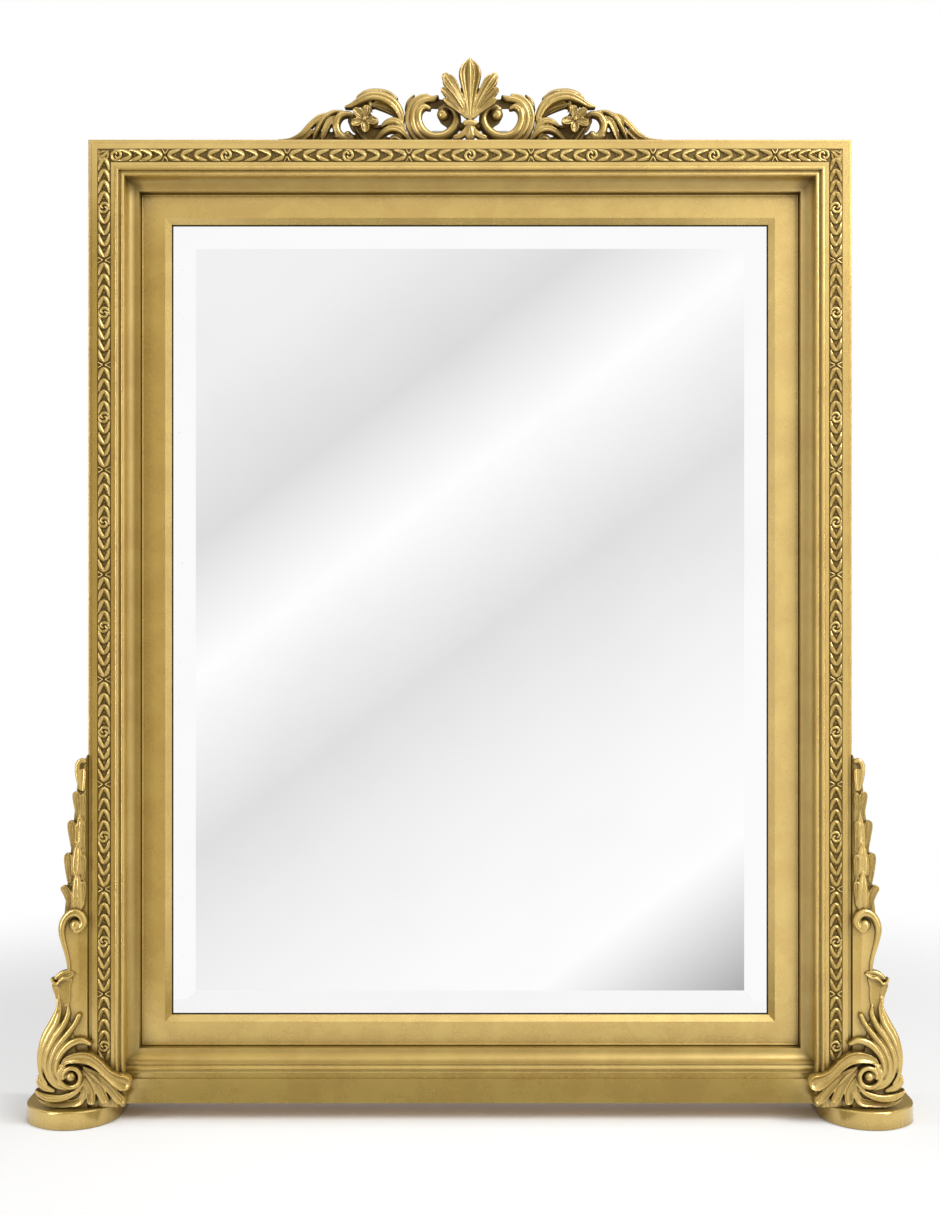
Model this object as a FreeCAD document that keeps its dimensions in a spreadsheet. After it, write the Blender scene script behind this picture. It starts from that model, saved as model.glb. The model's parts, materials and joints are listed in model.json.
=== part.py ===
import FreeCAD, Part
import math
import os
import re
import Sketcher

# Giltwood overmantel mirror that stands on two plinth feet.
# X runs across the front, the viewer is on the -Y side, Z is up and the origin is on the floor,
# below the middle of the object. Depths are counted backwards from the front of the laurel band,
# and section widths inwards from the outer edge of the frame. Millimetres.

doc = FreeCAD.newDocument("overmantel_mirror")
sheet = doc.addObject("Spreadsheet::Sheet", "Sizes")

SIZES = [
    # overall frame
    ("frame_width", 1072), ("frame_top", 1384), ("frame_depth", 101), ("rail_drop", 8.5),
    # outer moulding section
    ("edge_width", 6), ("edge_depth", 5), ("edge_radius", 1.5), ("flat_depth", 3),
    ("laurel_start", 13.5), ("laurel_width", 19), ("laurel_bed", 4.5), ("laurel_front", 0.3),
    ("laurel_gap", 0.2), ("laurel_rise", 3), ("laurel_hidden", 60),
    ("fillet_width", 5.2), ("bead_width", 5.5), ("bead_rise", 2.2), ("groove_width", 2.1),
    ("groove_depth", 6.5), ("inner_bead_width", 5.2), ("inner_bead_rise", 2.1),
    ("moulding_back", 40), ("lip", 4.5),
    # cove, liner and glass
    ("cove_front", 20), ("cove_width", 12), ("cove_fall", 8), ("cove_hollow", 2.6), ("cove_fillet", 4.5),
    ("liner_front", 42), ("liner_tuck", 9), ("liner_width", 42), ("liner_bead", 3), ("liner_bead_rise", 1.2),
    ("sight_bevel", 8), ("sight_lip", 3.2), ("glass_rebate", 7), ("glass_gap", 1),
    ("glass_thickness", 6), ("bevel_width", 40), ("bevel_fall", 1.5), ("glass_front", 52),
    # base rail face
    ("rail_face", 20), ("rail_plain", 34.5), ("rail_step", 2.5), ("rail_band", 7.5), ("rail_bead_rise", 2),
    # back
    ("board_thickness", 6), ("board_gap", 1), ("batten_thickness", 20), ("batten_height", 60),
    ("block_leg", 70), ("block_thickness", 30), ("block_gap", 2),
    # feet
    ("foot_width", 132), ("foot_outset", 29), ("foot_proud", 21), ("foot_thickness", 25),
    ("foot_rounding", 3), ("felt_thickness", 1.5), ("felt_inset", 3),
    # carving depths
    ("crest_setback", 8), ("crest_front_depth", 12), ("crest_back_depth", 18), ("crest_joint", 94),
    ("joint_gap", 0.15), ("console_depth", 60), ("husk_depth", 8), ("volute_depth", 12),
    ("scroll_depth", 16), ("crown_depth", 3),
    # console outline
    ("console_foot", 46), ("console_belly", 16), ("console_shoulder", 40), ("console_shoulder_up", 130),
    ("console_neck", 10), ("console_chest", 34), ("console_chest_up", 250), ("console_tip", 12),
    ("console_tip_up", 470), ("console_height", 494),
    # screws
    ("screw_radius", 2), ("screw_head", 4), ("screw_head_height", 2.4), ("screw_gap", 0.1),
    ("board_screw_length", 20), ("board_screw_inset", 6), ("board_screw_margin", 120),
    ("batten_screw_length", 36), ("batten_screw_inset", 10), ("batten_screw_spread", 30),
    ("foot_screw_length", 60), ("foot_screw_spread", 32), ("bracket_screw_length", 14),
    # crest brackets
    ("bracket_out", 46), ("bracket_width", 16), ("bracket_rise", 22), ("bracket_reach", 34),
    ("bracket_thickness", 2), ("bracket_screw_up", 12.5), ("bracket_screw_back", 22),
    # ring hangers
    ("hanger_out", 300), ("strap_width", 16), ("strap_length", 42), ("strap_thickness", 1.5),
    ("barrel_radius", 4), ("ring_wire", 2), ("ring_play", 0.06), ("ring_half", 14), ("ring_leg", 9),
    ("ring_corner", 4), ("hanger_screw_first", 11), ("hanger_screw_second", 34), ("hanger_screw_length", 15),
]

for row, (alias, value) in enumerate(SIZES, start=1):
    sheet.set(f"A{row}", alias)
    sheet.set(f"B{row}", str(value))
    sheet.setAlias(f"B{row}", alias)
doc.recompute()

aliases = {alias for alias, value in SIZES}
nodes = {}


def size(expression):
    return float(sheet.evalExpression(expression))


def bind(expression):
    return re.sub(r"[a-z_]+", lambda word: "Sizes." + word[0] if word[0] in aliases else word[0], expression)


# Places that several pieces share, worked out from the sheet
HALF = "(frame_width/2)"
FRONT = "((foot_proud - frame_depth)/2)"
FOOT_TOP = "(felt_thickness + foot_thickness)"
SECTION_FOOT = f"({FOOT_TOP} + rail_drop)"
FILLET_START = "(laurel_start + laurel_width)"
BEAD_START = f"({FILLET_START} + fillet_width)"
BEAD_END = f"({BEAD_START} + bead_width)"
GROOVE_END = f"({BEAD_END} + groove_width)"
MOULDING = f"({GROOVE_END} + inner_bead_width)"
RAIL = f"({MOULDING} - lip)"
COVE_END = f"({MOULDING} + cove_width)"
COVE_EDGE = f"({COVE_END} + cove_fillet)"
LINER_START = f"({COVE_EDGE} - liner_tuck)"
SIGHT = f"({COVE_EDGE} + liner_width)"
REBATE = f"({SIGHT} - glass_rebate)"
GLASS_EDGE = f"({REBATE} + glass_gap)"
BOARD_FRONT = "(glass_front + glass_thickness)"
BOARD_BACK = f"({BOARD_FRONT} + board_thickness)"
BATTEN_BACK = f"({BOARD_BACK} + batten_thickness)"
INSIDE_WIDTH = f"(frame_width - 2*{RAIL})"
INSIDE_FOOT = f"({SECTION_FOOT} + {RAIL})"
INSIDE_HEIGHT = f"(frame_top - {RAIL} - {INSIDE_FOOT})"
STILE_HEIGHT = f"(frame_top - {FOOT_TOP})"
SECTION_HEIGHT = f"(frame_top - {SECTION_FOOT})"
FOOT_DEPTH = "(foot_proud + frame_depth)"
SIDES = {"left": -1, "right": 1}


def depth(expression):
    return f"{FRONT} + {expression}"


def place(made, x, y, z, rotation=FreeCAD.Rotation()):
    made.Placement = FreeCAD.Placement(FreeCAD.Vector(), rotation)
    for axis, expression in zip("xyz", (x, y, z)):
        made.setExpression(f"Placement.Base.{axis}", bind(expression))
    return made


def turn(axis, angle):
    return FreeCAD.Rotation(FreeCAD.Vector(*axis), angle)


def keep(label, made):
    made.Label = label
    nodes[label] = made
    return made


def primitive(kind, name, **sizes):
    made = doc.addObject(kind, name)
    for key, expression in sizes.items():
        made.setExpression(key, bind(expression))
    return made


def box(name, length, width, height, x, y, z):
    return place(primitive("Part::Box", name, Length=length, Width=width, Height=height), x, y, z)


def boolean(kind, name, base, tool):
    made = doc.addObject(kind, name)
    made.Base = base
    made.Tool = tool
    return made


def bundle(name, pieces):
    made = doc.addObject("Part::Compound", name)
    made.Links = pieces
    return made


def sketch_on(body, name, role):
    sketch = body.newObject("Sketcher::SketchObject", name)
    plane = [feature for feature in body.Origin.OriginFeatures if feature.Role == role][0]
    sketch.AttachmentSupport = [(plane, "")]
    sketch.MapMode = "FlatFace"
    return sketch


# A closed outline whose corners are tied to the sheet. A corner is (x, y), and the run that leaves it
# is straight, or an arc of the given rise that bulges to the "left" or "right" of the way ahead.
def outline(sketch, corners):
    spots = [FreeCAD.Vector(size(corner[0]), size(corner[1]), 0) for corner in corners]
    ends = []

    def tie(constraint, expression):
        index = sketch.addConstraint(constraint)
        sketch.setExpression(f"Constraints[{index}]", bind(expression))

    for index, corner in enumerate(corners):
        following = (index + 1) % len(corners)
        start, end = spots[index], spots[following]
        if len(corner) == 2:
            sketch.addGeometry(Part.LineSegment(start, end), False)
            ends.append((1, 2))
            continue
        rise, bulge = corner[2:]
        chord = end - start
        radius = chord.Length ** 2 / (8 * size(rise)) + size(rise) / 2
        left = FreeCAD.Vector(-chord.y, chord.x, 0).normalize()
        toward = left if bulge == "right" else left * -1
        centre = (start + end) * 0.5 + toward * (radius - size(rise))
        circle = Part.Circle(centre, FreeCAD.Vector(0, 0, 1), radius)
        first, last = (start, end) if bulge == "right" else (end, start)
        angles = [math.atan2(spot.y - centre.y, spot.x - centre.x) for spot in (first, last)]
        sketch.addGeometry(Part.ArcOfCircle(circle, angles[0], angles[1]), False)
        ends.append((1, 2) if bulge == "right" else (2, 1))
        across = f"({corners[following][0]} - {corner[0]})"
        along = f"({corners[following][1]} - {corner[1]})"
        tie(Sketcher.Constraint("Radius", index, radius),
            f"({across}^2 + {along}^2)/(8*{rise}) + {rise}/2")

    for index, corner in enumerate(corners):
        following = (index + 1) % len(corners)
        sketch.addConstraint(Sketcher.Constraint(
            "Coincident", index, ends[index][1], following, ends[following][0]))
        for kind, expression, axis in (("DistanceX", corner[0], -2), ("DistanceY", corner[1], -1)):
            if expression == "0":
                sketch.addConstraint(Sketcher.Constraint("PointOnObject", index, ends[index][0], axis))
            else:
                tie(Sketcher.Constraint(kind, -1, 1, index, ends[index][0], size(expression)), expression)


def padded(label, role, corners, length):
    body = doc.addObject("PartDesign::Body", label)
    sketch = sketch_on(body, label + "_outline", role)
    outline(sketch, corners)
    pad = body.newObject("PartDesign::Pad", label + "_pad")
    pad.Profile = sketch
    pad.setExpression("Length", bind(length))
    return body


def pocketed(body, name, role, corners):
    sketch = sketch_on(body, name + "_outline", role)
    outline(sketch, corners)
    pocket = body.newObject("PartDesign::Pocket", name)
    pocket.Profile = sketch
    pocket.Type = "ThroughAll"
    pocket.SideType = "Symmetric"


# A length of moulding, profile in (width inwards, depth), run along one side of the frame
def bar(label, corners, side, length, mitres, foot=SECTION_FOOT):
    body = padded(label, "XY_Plane", corners, length)
    if "start" in mitres:
        pocketed(body, label + "_start", "XZ_Plane", [("0", "0"), (SIGHT, "0"), (SIGHT, SIGHT)])
    if "end" in mitres:
        pocketed(body, label + "_end", "XZ_Plane",
                 [("0", length), (SIGHT, f"({length} - {SIGHT})"), (SIGHT, length)])
    spots = {"left": (f"-{HALF}", foot, 0), "right": (HALF, "frame_top", 180),
             "top": (f"-{HALF}", "frame_top", 90), "bottom": (HALF, SECTION_FOOT, -90)}
    x, z, angle = spots[side]
    return keep(label, place(body, x, FRONT, z, turn((0, 1, 0), angle)))


# Countersunk screws, and the holes that take them, at (x, y, z) spots of their heads
def screws(label, spots, length, rotation):
    shapes = {"screw": "0", "hole": "screw_gap"}
    bundles = {}
    for kind, gap in shapes.items():
        made = []
        for number, (x, y, z) in enumerate(spots):
            name = f"{label}_{kind}_{number}"
            head = primitive("Part::Cone", name + "_head", Radius1=f"screw_head + {gap}",
                             Radius2=f"screw_radius + {gap}", Height="screw_head_height")
            shank = primitive("Part::Cylinder", name + "_shank", Radius=f"screw_radius + {gap}",
                              Height=f"{length} - screw_head_height + {gap}")
            place(shank, "0", "0", "screw_head_height")
            whole = boolean("Part::Fuse", name, head, shank)
            made.append(place(whole, x, y, z, rotation))
        bundles[kind] = bundle(f"{label}_{kind}s", made)
    keep(label, bundles["screw"])
    return bundles["hole"]


def drilled(label, blank, holes):
    blank.Label = label + "_blank"
    return keep(label, boolean("Part::Cut", label + "_drilled", blank, holes))


# Carved foliage: every stroke is a row of discs (across, up, radius) joined by tapered strips
def taper(first, second):
    (x1, z1, r1), (x2, z2, r2) = first, second
    apart = math.hypot(x2 - x1, z2 - z1)
    heading = math.atan2(z2 - z1, x2 - x1)
    lean = math.acos(max(-1, min(1, (r1 - r2) / apart)))

    def on(x, z, radius, angle):
        return FreeCAD.Vector(x + radius * math.cos(angle), 0, z + radius * math.sin(angle))

    a, b = on(x1, z1, r1, heading + lean), on(x2, z2, r2, heading + lean)
    c, d = on(x2, z2, r2, heading - lean), on(x1, z1, r1, heading - lean)
    tip, tail = on(x2, z2, r2, heading), on(x1, z1, r1, heading + math.pi)
    edges = [Part.LineSegment(a, b), Part.Arc(b, tip, c), Part.LineSegment(c, d), Part.Arc(d, tail, a)]
    return Part.Face(Part.Wire([edge.toShape() for edge in edges]))


def disc(x, z, radius):
    circle = Part.makeCircle(radius, FreeCAD.Vector(x, 0, z), FreeCAD.Vector(0, 1, 0))
    return Part.Face(Part.Wire([circle]))


def spiral(centre, radii, angles, widths, steps):
    points = []
    for step in range(steps + 1):
        share = step / steps
        angle = math.radians(angles[0] + (angles[1] - angles[0]) * share)
        radius = radii[0] + (radii[1] - radii[0]) * share
        width = widths[0] + (widths[1] - widths[0]) * share
        points.append((centre[0] + radius * math.cos(angle), centre[1] + radius * math.sin(angle), width))
    return points


def silhouette(strokes, share, side):
    faces = []
    for stroke in strokes:
        points = [(side * x, z, radius * share) for x, z, radius in stroke]
        if len(points) == 1:
            faces.append(disc(*points[0]))
        faces += [taper(a, b) for a, b in zip(points, points[1:])]
    return faces[0].multiFuse(faces[1:]).removeSplitter() if len(faces) > 1 else faces[0]


# A carving stands between two depths, with a narrower crown along the middle of its strokes.
# It is trimmed to the window (least and greatest across, least and greatest up).
CROWN_SHARE = 0.55


def carving(label, strokes, side, front, back, window, x, z):
    crown = size("crown_depth")
    thickness = back - front - crown
    base = silhouette(strokes, 1, side).extrude(FreeCAD.Vector(0, thickness, 0))
    base.translate(FreeCAD.Vector(0, crown, 0))
    ridge = silhouette(strokes, CROWN_SHARE, side).extrude(FreeCAD.Vector(0, crown, 0))
    left, right = sorted((side * window[0], side * window[1]))
    room = Part.makeBox(right - left, back - front, window[3] - window[2],
                        FreeCAD.Vector(left, 0, window[2]))
    made = doc.addObject("Part::Feature", label)
    made.Shape = base.fuse(ridge).common(room).removeSplitter()
    made.Placement.Base = FreeCAD.Vector(x, size(FRONT) + front, z)
    return keep(label, made)


# Carcass of four pine members, butted at the corners
CARCASS_DEPTH = "(frame_depth - moulding_back)"
carcass_y = depth("moulding_back")
holes_foot = {}
for side, sign in SIDES.items():
    stile_middle = f"{sign}*({HALF} - {RAIL}/2)"
    spots = [(stile_middle, depth(f"(moulding_back + {CARCASS_DEPTH}/2 + {step}*foot_screw_spread/2)"),
              "felt_thickness") for step in (-1, 1)]
    holes_foot[side] = spots
foot_holes = screws("foot_screws", holes_foot["left"] + holes_foot["right"], "foot_screw_length",
                    FreeCAD.Rotation())

bracket_spots = [f"{sign}*bracket_out" for sign in SIDES.values()]
bracket_back = "(crest_setback + crest_front_depth + crest_back_depth)"
top_holes = screws(
    "bracket_top_screws",
    [(x, depth(f"({bracket_back} + bracket_screw_back)"), "frame_top + bracket_thickness")
     for x in bracket_spots], "foot_screw_length/2", turn((1, 0, 0), 180))
crest_holes = screws(
    "bracket_crest_screws",
    [(x, depth(f"({bracket_back} + bracket_thickness)"), "frame_top + bracket_screw_up")
     for x in bracket_spots], "bracket_screw_length", turn((1, 0, 0), 90))

for side, sign in SIDES.items():
    x = f"-{HALF}" if sign < 0 else f"{HALF} - {RAIL}"
    stile = box(f"carcass_{side}", RAIL, CARCASS_DEPTH, STILE_HEIGHT, x, carcass_y, FOOT_TOP)
    drilled(f"carcass_{side}", stile, foot_holes)
head = box("carcass_top", INSIDE_WIDTH, CARCASS_DEPTH, RAIL, f"-{INSIDE_WIDTH}/2", carcass_y,
           f"frame_top - {RAIL}")
drilled("carcass_top", head, top_holes)
keep("carcass_bottom", box("carcass_bottom", INSIDE_WIDTH, CARCASS_DEPTH, f"{RAIL} + rail_drop",
                           f"-{INSIDE_WIDTH}/2", carcass_y, FOOT_TOP))

# Outer moulding on the top and the stiles, with a bed for the laurel band and two beads
edge_rise = "((1 - sqrt(1/2))*edge_radius)"
moulding_section = [
    ("0", "moulding_back"),
    ("0", "(edge_depth + edge_radius)", edge_rise, "right"),
    ("edge_radius", "edge_depth"),
    ("edge_width", "edge_depth"),
    ("edge_width", "flat_depth"),
    ("laurel_start", "flat_depth"),
    ("laurel_start", "laurel_bed"),
    (FILLET_START, "laurel_bed"),
    (FILLET_START, "flat_depth"),
    (BEAD_START, "flat_depth", "bead_rise", "right"),
    (BEAD_END, "flat_depth"),
    (BEAD_END, "groove_depth"),
    (GROOVE_END, "groove_depth", "inner_bead_rise", "right"),
    (MOULDING, "groove_depth"),
    (MOULDING, "cove_front"),
    (RAIL, "cove_front"),
    (RAIL, "moulding_back"),
]
bar("moulding_top", moulding_section, "top", "frame_width", ("start", "end"))
bar("moulding_left", moulding_section, "left", STILE_HEIGHT, ("end",), FOOT_TOP)
bar("moulding_right", moulding_section, "right", STILE_HEIGHT, ("start",))

# Laurel band, a crowned strip in the bed of the moulding
laurel_side = "(laurel_front + laurel_rise)"
laurel_section = [
    ("(laurel_start + laurel_gap)", "laurel_bed"),
    ("(laurel_start + laurel_gap)", laurel_side, "laurel_rise", "right"),
    (f"({FILLET_START} - laurel_gap)", laurel_side),
    (f"({FILLET_START} - laurel_gap)", "laurel_bed"),
]
laurel_height = f"({STILE_HEIGHT} - laurel_hidden)"
bar("laurel_top", laurel_section, "top", "frame_width", ("start", "end"))
bar("laurel_left", laurel_section, "left", laurel_height, ("end",), f"{FOOT_TOP} + laurel_hidden")
bar("laurel_right", laurel_section, "right", laurel_height, ("start",))

# Hollow cove moulding inside the carcass, held by the lip of the outer moulding
cove_low = "(cove_front + cove_fall)"
cove_section = [
    (RAIL, BOARD_FRONT),
    (RAIL, "cove_front"),
    (MOULDING, "cove_front", "cove_hollow", "left"),
    (COVE_END, cove_low),
    (COVE_EDGE, cove_low),
    (COVE_EDGE, "liner_front"),
    (LINER_START, "liner_front"),
    (LINER_START, BOARD_FRONT),
]
# Flat liner slip with a small bead, a sight bevel and a rebate for the glass
liner_section = [
    (LINER_START, BOARD_FRONT),
    (LINER_START, "liner_front"),
    (COVE_EDGE, "liner_front", "liner_bead_rise", "right"),
    (f"({COVE_EDGE} + liner_bead)", "liner_front"),
    (f"({SIGHT} - sight_bevel)", "liner_front"),
    (SIGHT, "(liner_front + sight_bevel)"),
    (SIGHT, "(liner_front + sight_bevel + sight_lip)"),
    (REBATE, "(liner_front + sight_bevel + sight_lip)"),
    (REBATE, BOARD_FRONT),
]
for name, section in (("cove", cove_section), ("liner", liner_section)):
    for side in ("top", "bottom", "left", "right"):
        length = "frame_width" if side in ("top", "bottom") else SECTION_HEIGHT
        bar(f"{name}_{side}", section, side, length, ("start", "end"))

# Base rail between the stiles, profile in (height, depth): a plain face, a band and a flat bead
rail_band_end = "(rail_plain + rail_band)"
rail_low = "(rail_face + rail_step)"
rail_section = [
    ("0", "moulding_back"),
    ("0", "rail_face"),
    ("rail_plain", "rail_face"),
    ("rail_plain", rail_low),
    (rail_band_end, rail_low, "rail_bead_rise", "right"),
    (f"({RAIL} + rail_drop)", rail_low),
    (f"({RAIL} + rail_drop)", "moulding_back"),
]
rail = padded("base_rail", "XY_Plane", rail_section, INSIDE_WIDTH)
keep("base_rail", place(rail, f"{INSIDE_WIDTH}/2", FRONT, FOOT_TOP, turn((0, 1, 0), -90)))

# Bevelled mirror plate
glass_width = f"(frame_width - 2*{GLASS_EDGE})"
glass_height = f"({SECTION_HEIGHT} - 2*{GLASS_EDGE})"
glass_foot = f"{SECTION_FOOT} + {GLASS_EDGE}"
slab = box("glass_slab", glass_width, "glass_thickness - bevel_fall", glass_height,
           f"-{glass_width}/2", depth("(glass_front + bevel_fall)"), glass_foot)
bevel = primitive(
    "Part::Wedge", "glass_bevel", Ymin="0", Ymax="bevel_fall",
    Xmin="bevel_width", Xmax=f"{glass_width} - bevel_width",
    Zmin="bevel_width", Zmax=f"{glass_height} - bevel_width",
    X2min="0", X2max=glass_width, Z2min="0", Z2max=glass_height)
place(bevel, f"-{glass_width}/2", depth("glass_front"), glass_foot)
keep("mirror_plate", boolean("Part::Fuse", "mirror_plate", slab, bevel))

# Backboard, its screws, and two battens across the back that carry the hangers
SIDE_SCREWS = 5
END_SCREWS = 4
board_back_y = depth(BOARD_BACK)
side_pitch = f"(({INSIDE_HEIGHT} - 2*board_screw_margin)/{SIDE_SCREWS - 1})"
end_pitch = f"(({INSIDE_WIDTH} - 2*board_screw_margin)/{END_SCREWS - 1})"


def side_height(step):
    return f"({INSIDE_FOOT} + board_screw_margin + {step}*{side_pitch})"


board_spots = []
for sign in SIDES.values():
    x = f"{sign}*({INSIDE_WIDTH}/2 - board_screw_inset)"
    board_spots += [(x, board_back_y, side_height(step)) for step in range(SIDE_SCREWS)]
for z in (f"{INSIDE_FOOT} + board_screw_inset", f"frame_top - {RAIL} - board_screw_inset"):
    board_spots += [(f"-{INSIDE_WIDTH}/2 + board_screw_margin + {step}*{end_pitch}", board_back_y, z)
                    for step in range(END_SCREWS)]
board_holes = screws("backboard_screws", board_spots, "board_screw_length", turn((1, 0, 0), 90))

batten_middles = {"lower": side_height(0.5), "upper": side_height(SIDE_SCREWS - 1.5)}
batten_back_y = depth(BATTEN_BACK)
batten_spots = []
for z in batten_middles.values():
    for sign in SIDES.values():
        x = f"{sign}*({INSIDE_WIDTH}/2 - batten_screw_inset)"
        batten_spots += [(x, batten_back_y, f"{z} + {step}*batten_screw_spread/2") for step in (-1, 1)]
batten_holes = screws("batten_screws", batten_spots, "batten_screw_length", turn((1, 0, 0), 90))

hanger_spots = [(f"{sign}*hanger_out", batten_back_y, batten_middles["upper"]) for sign in SIDES.values()]
strap_screw_spots = []
for x, y, z in hanger_spots:
    strap_screw_spots += [(x, f"{y} + strap_thickness", f"{z} + strap_length/2 - {drop}")
                          for drop in ("hanger_screw_first", "hanger_screw_second")]
hanger_holes = screws("hanger_screws", strap_screw_spots, "hanger_screw_length", turn((1, 0, 0), 90))

board = box("backboard", f"{INSIDE_WIDTH} - 2*board_gap", "board_thickness", f"{INSIDE_HEIGHT} - 2*board_gap",
            f"-{INSIDE_WIDTH}/2 + board_gap", depth(BOARD_FRONT), f"{INSIDE_FOOT} + board_gap")
drilled("backboard", board, bundle("board_drilling", [board_holes, batten_holes]))
for place_name, z in batten_middles.items():
    batten = box(f"batten_{place_name}", INSIDE_WIDTH, "batten_thickness", "batten_height",
                 f"-{INSIDE_WIDTH}/2", board_back_y, f"{z} - batten_height/2")
    tools = [batten_holes, hanger_holes] if place_name == "upper" else [batten_holes]
    drilled(f"batten_{place_name}", batten, bundle(f"batten_{place_name}_drilling", tools))
for side in ("top", "bottom", "left", "right"):
    tools = [board_holes] if side in ("top", "bottom") else [board_holes, batten_holes]
    drilled(f"cove_{side}", nodes[f"cove_{side}"], bundle(f"cove_{side}_drilling", tools))
for side in SIDES:
    drilled(f"liner_{side}", nodes[f"liner_{side}"], bundle(f"liner_{side}_drilling", [batten_holes]))

# Triangular glue blocks in the four corners of the carcass
blocks = []
for quarter in range(4):
    block = primitive("Part::Wedge", f"block_{quarter}", Xmin="0", Xmax="block_leg", Ymin="0",
                      Ymax="block_leg", Zmin="0", Zmax="block_thickness", X2min="0", X2max="0",
                      Z2min="0", Z2max="block_thickness")
    x = f"-{INSIDE_WIDTH}/2" if quarter in (0, 3) else f"{INSIDE_WIDTH}/2"
    z = INSIDE_FOOT if quarter < 2 else f"frame_top - {RAIL}"
    rotation = turn((0, 1, 0), -90 * quarter) * turn((1, 0, 0), 90)
    blocks.append(place(block, x, depth(f"({BOARD_BACK} + block_gap + block_thickness)"), z, rotation))
keep("corner_blocks", bundle("corner_blocks", blocks))

# Ring hangers: a strap with a rolled barrel at its top, and a ring that swings in the barrel
for (side, sign), (x, y, z) in zip(SIDES.items(), hanger_spots):
    axis_y = f"{y} + barrel_radius"
    axis_z = f"{z} + strap_length/2"
    plate = box(f"strap_plate_{side}", "strap_width", "strap_thickness", "strap_length",
                f"{x} - strap_width/2", y, f"{z} - strap_length/2")
    barrel = primitive("Part::Cylinder", f"strap_barrel_{side}", Radius="barrel_radius", Height="strap_width")
    place(barrel, f"{x} - strap_width/2", axis_y, axis_z, turn((0, 1, 0), 90))
    bore = primitive("Part::Cylinder", f"strap_bore_{side}", Radius="ring_wire + ring_play",
                     Height="strap_width")
    place(bore, f"{x} - strap_width/2", axis_y, axis_z, turn((0, 1, 0), 90))
    strap = boolean("Part::Fuse", f"strap_whole_{side}", plate, barrel)
    tools = bundle(f"strap_drilling_{side}", [bore, hanger_holes])
    drilled(f"hanger_strap_{side}", strap, tools)

    body = doc.addObject("PartDesign::Body", f"hanger_ring_{side}")
    spine = sketch_on(body, f"ring_path_{side}", "XZ_Plane")
    corner_rise = "((1 - sqrt(1/2))*ring_corner)"
    bow_rise = "((1 - sqrt(1/2))*ring_half)"
    outline(spine, [
        ("0", "0"),
        ("(ring_half - ring_corner)", "0", corner_rise, "right"),
        ("ring_half", "ring_corner"),
        ("ring_half", "ring_leg", bow_rise, "right"),
        ("0", "(ring_leg + ring_half)", bow_rise, "right"),
        ("-ring_half", "ring_leg"),
        ("-ring_half", "ring_corner", corner_rise, "right"),
        ("-(ring_half - ring_corner)", "0"),
    ])
    section = sketch_on(body, f"ring_section_{side}", "YZ_Plane")
    section.addGeometry(Part.Circle(FreeCAD.Vector(), FreeCAD.Vector(0, 0, 1), size("ring_wire")), False)
    section.addConstraint(Sketcher.Constraint("Coincident", 0, 3, -1, 1))
    wire = section.addConstraint(Sketcher.Constraint("Radius", 0, size("ring_wire")))
    section.setExpression(f"Constraints[{wire}]", bind("ring_wire"))
    pipe = body.newObject("PartDesign::AdditivePipe", f"ring_pipe_{side}")
    pipe.Profile = section
    pipe.Spine = spine
    keep(f"hanger_ring_{side}", place(body, x, axis_y, axis_z, turn((1, 0, 0), 180)))


# D-shaped plinth feet with felt under them
def d_plan(label, inset, thickness):
    radius = f"(foot_width/2 - {inset})"
    rise = f"((1 - sqrt(1/2))*{radius})"
    width = f"(2*{radius})"
    back = f"({FOOT_DEPTH} - 2*{inset})"
    corners = [
        ("0", back),
        ("0", radius, rise, "right"),
        (radius, "0", rise, "right"),
        (width, radius),
        (width, back),
    ]
    return padded(label, "XY_Plane", corners, thickness)


for side, sign in SIDES.items():
    foot_x = f"{sign}*({HALF} + foot_outset) - foot_width/2"
    foot_y = depth("(0 - foot_proud)")
    foot = d_plan(f"foot_{side}", "0", "foot_thickness")
    doc.recompute()
    pad = foot.Tip
    rim = [f"Edge{number}" for number, edge in enumerate(pad.Shape.Edges, start=1)
           if edge.BoundBox.ZMin > size("foot_thickness") / 2 and edge.BoundBox.YMin < size(FOOT_DEPTH) - 1]
    rounding = foot.newObject("PartDesign::Fillet", f"foot_rounding_{side}")
    rounding.Base = (pad, rim)
    rounding.setExpression("Radius", bind("foot_rounding"))
    place(foot, foot_x, foot_y, "felt_thickness")
    drilled(f"foot_{side}", foot, foot_holes)
    felt = d_plan(f"felt_{side}", "felt_inset", "felt_thickness")
    keep(f"felt_{side}", place(felt, f"{foot_x} + felt_inset", f"{foot_y} + felt_inset", "0"))

# Consoles on the outer side of the stiles, outline in (outwards, up)
console_outline = [
    ("0", "0"),
    ("console_foot", "0", "console_belly", "right"),
    ("console_shoulder", "console_shoulder_up", "console_neck", "left"),
    ("console_chest", "console_chest_up"),
    ("console_tip", "console_tip_up"),
    ("0", "console_height"),
]
for side, sign in SIDES.items():
    console = padded(f"side_console_{side}", "XZ_Plane", console_outline, "console_depth")
    y = depth("console_depth") if sign > 0 else FRONT
    angle = 0 if sign > 0 else 180
    keep(f"side_console_{side}", place(console, f"{sign}*{HALF}", y, FOOT_TOP, turn((0, 0, 1), angle)))

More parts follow.
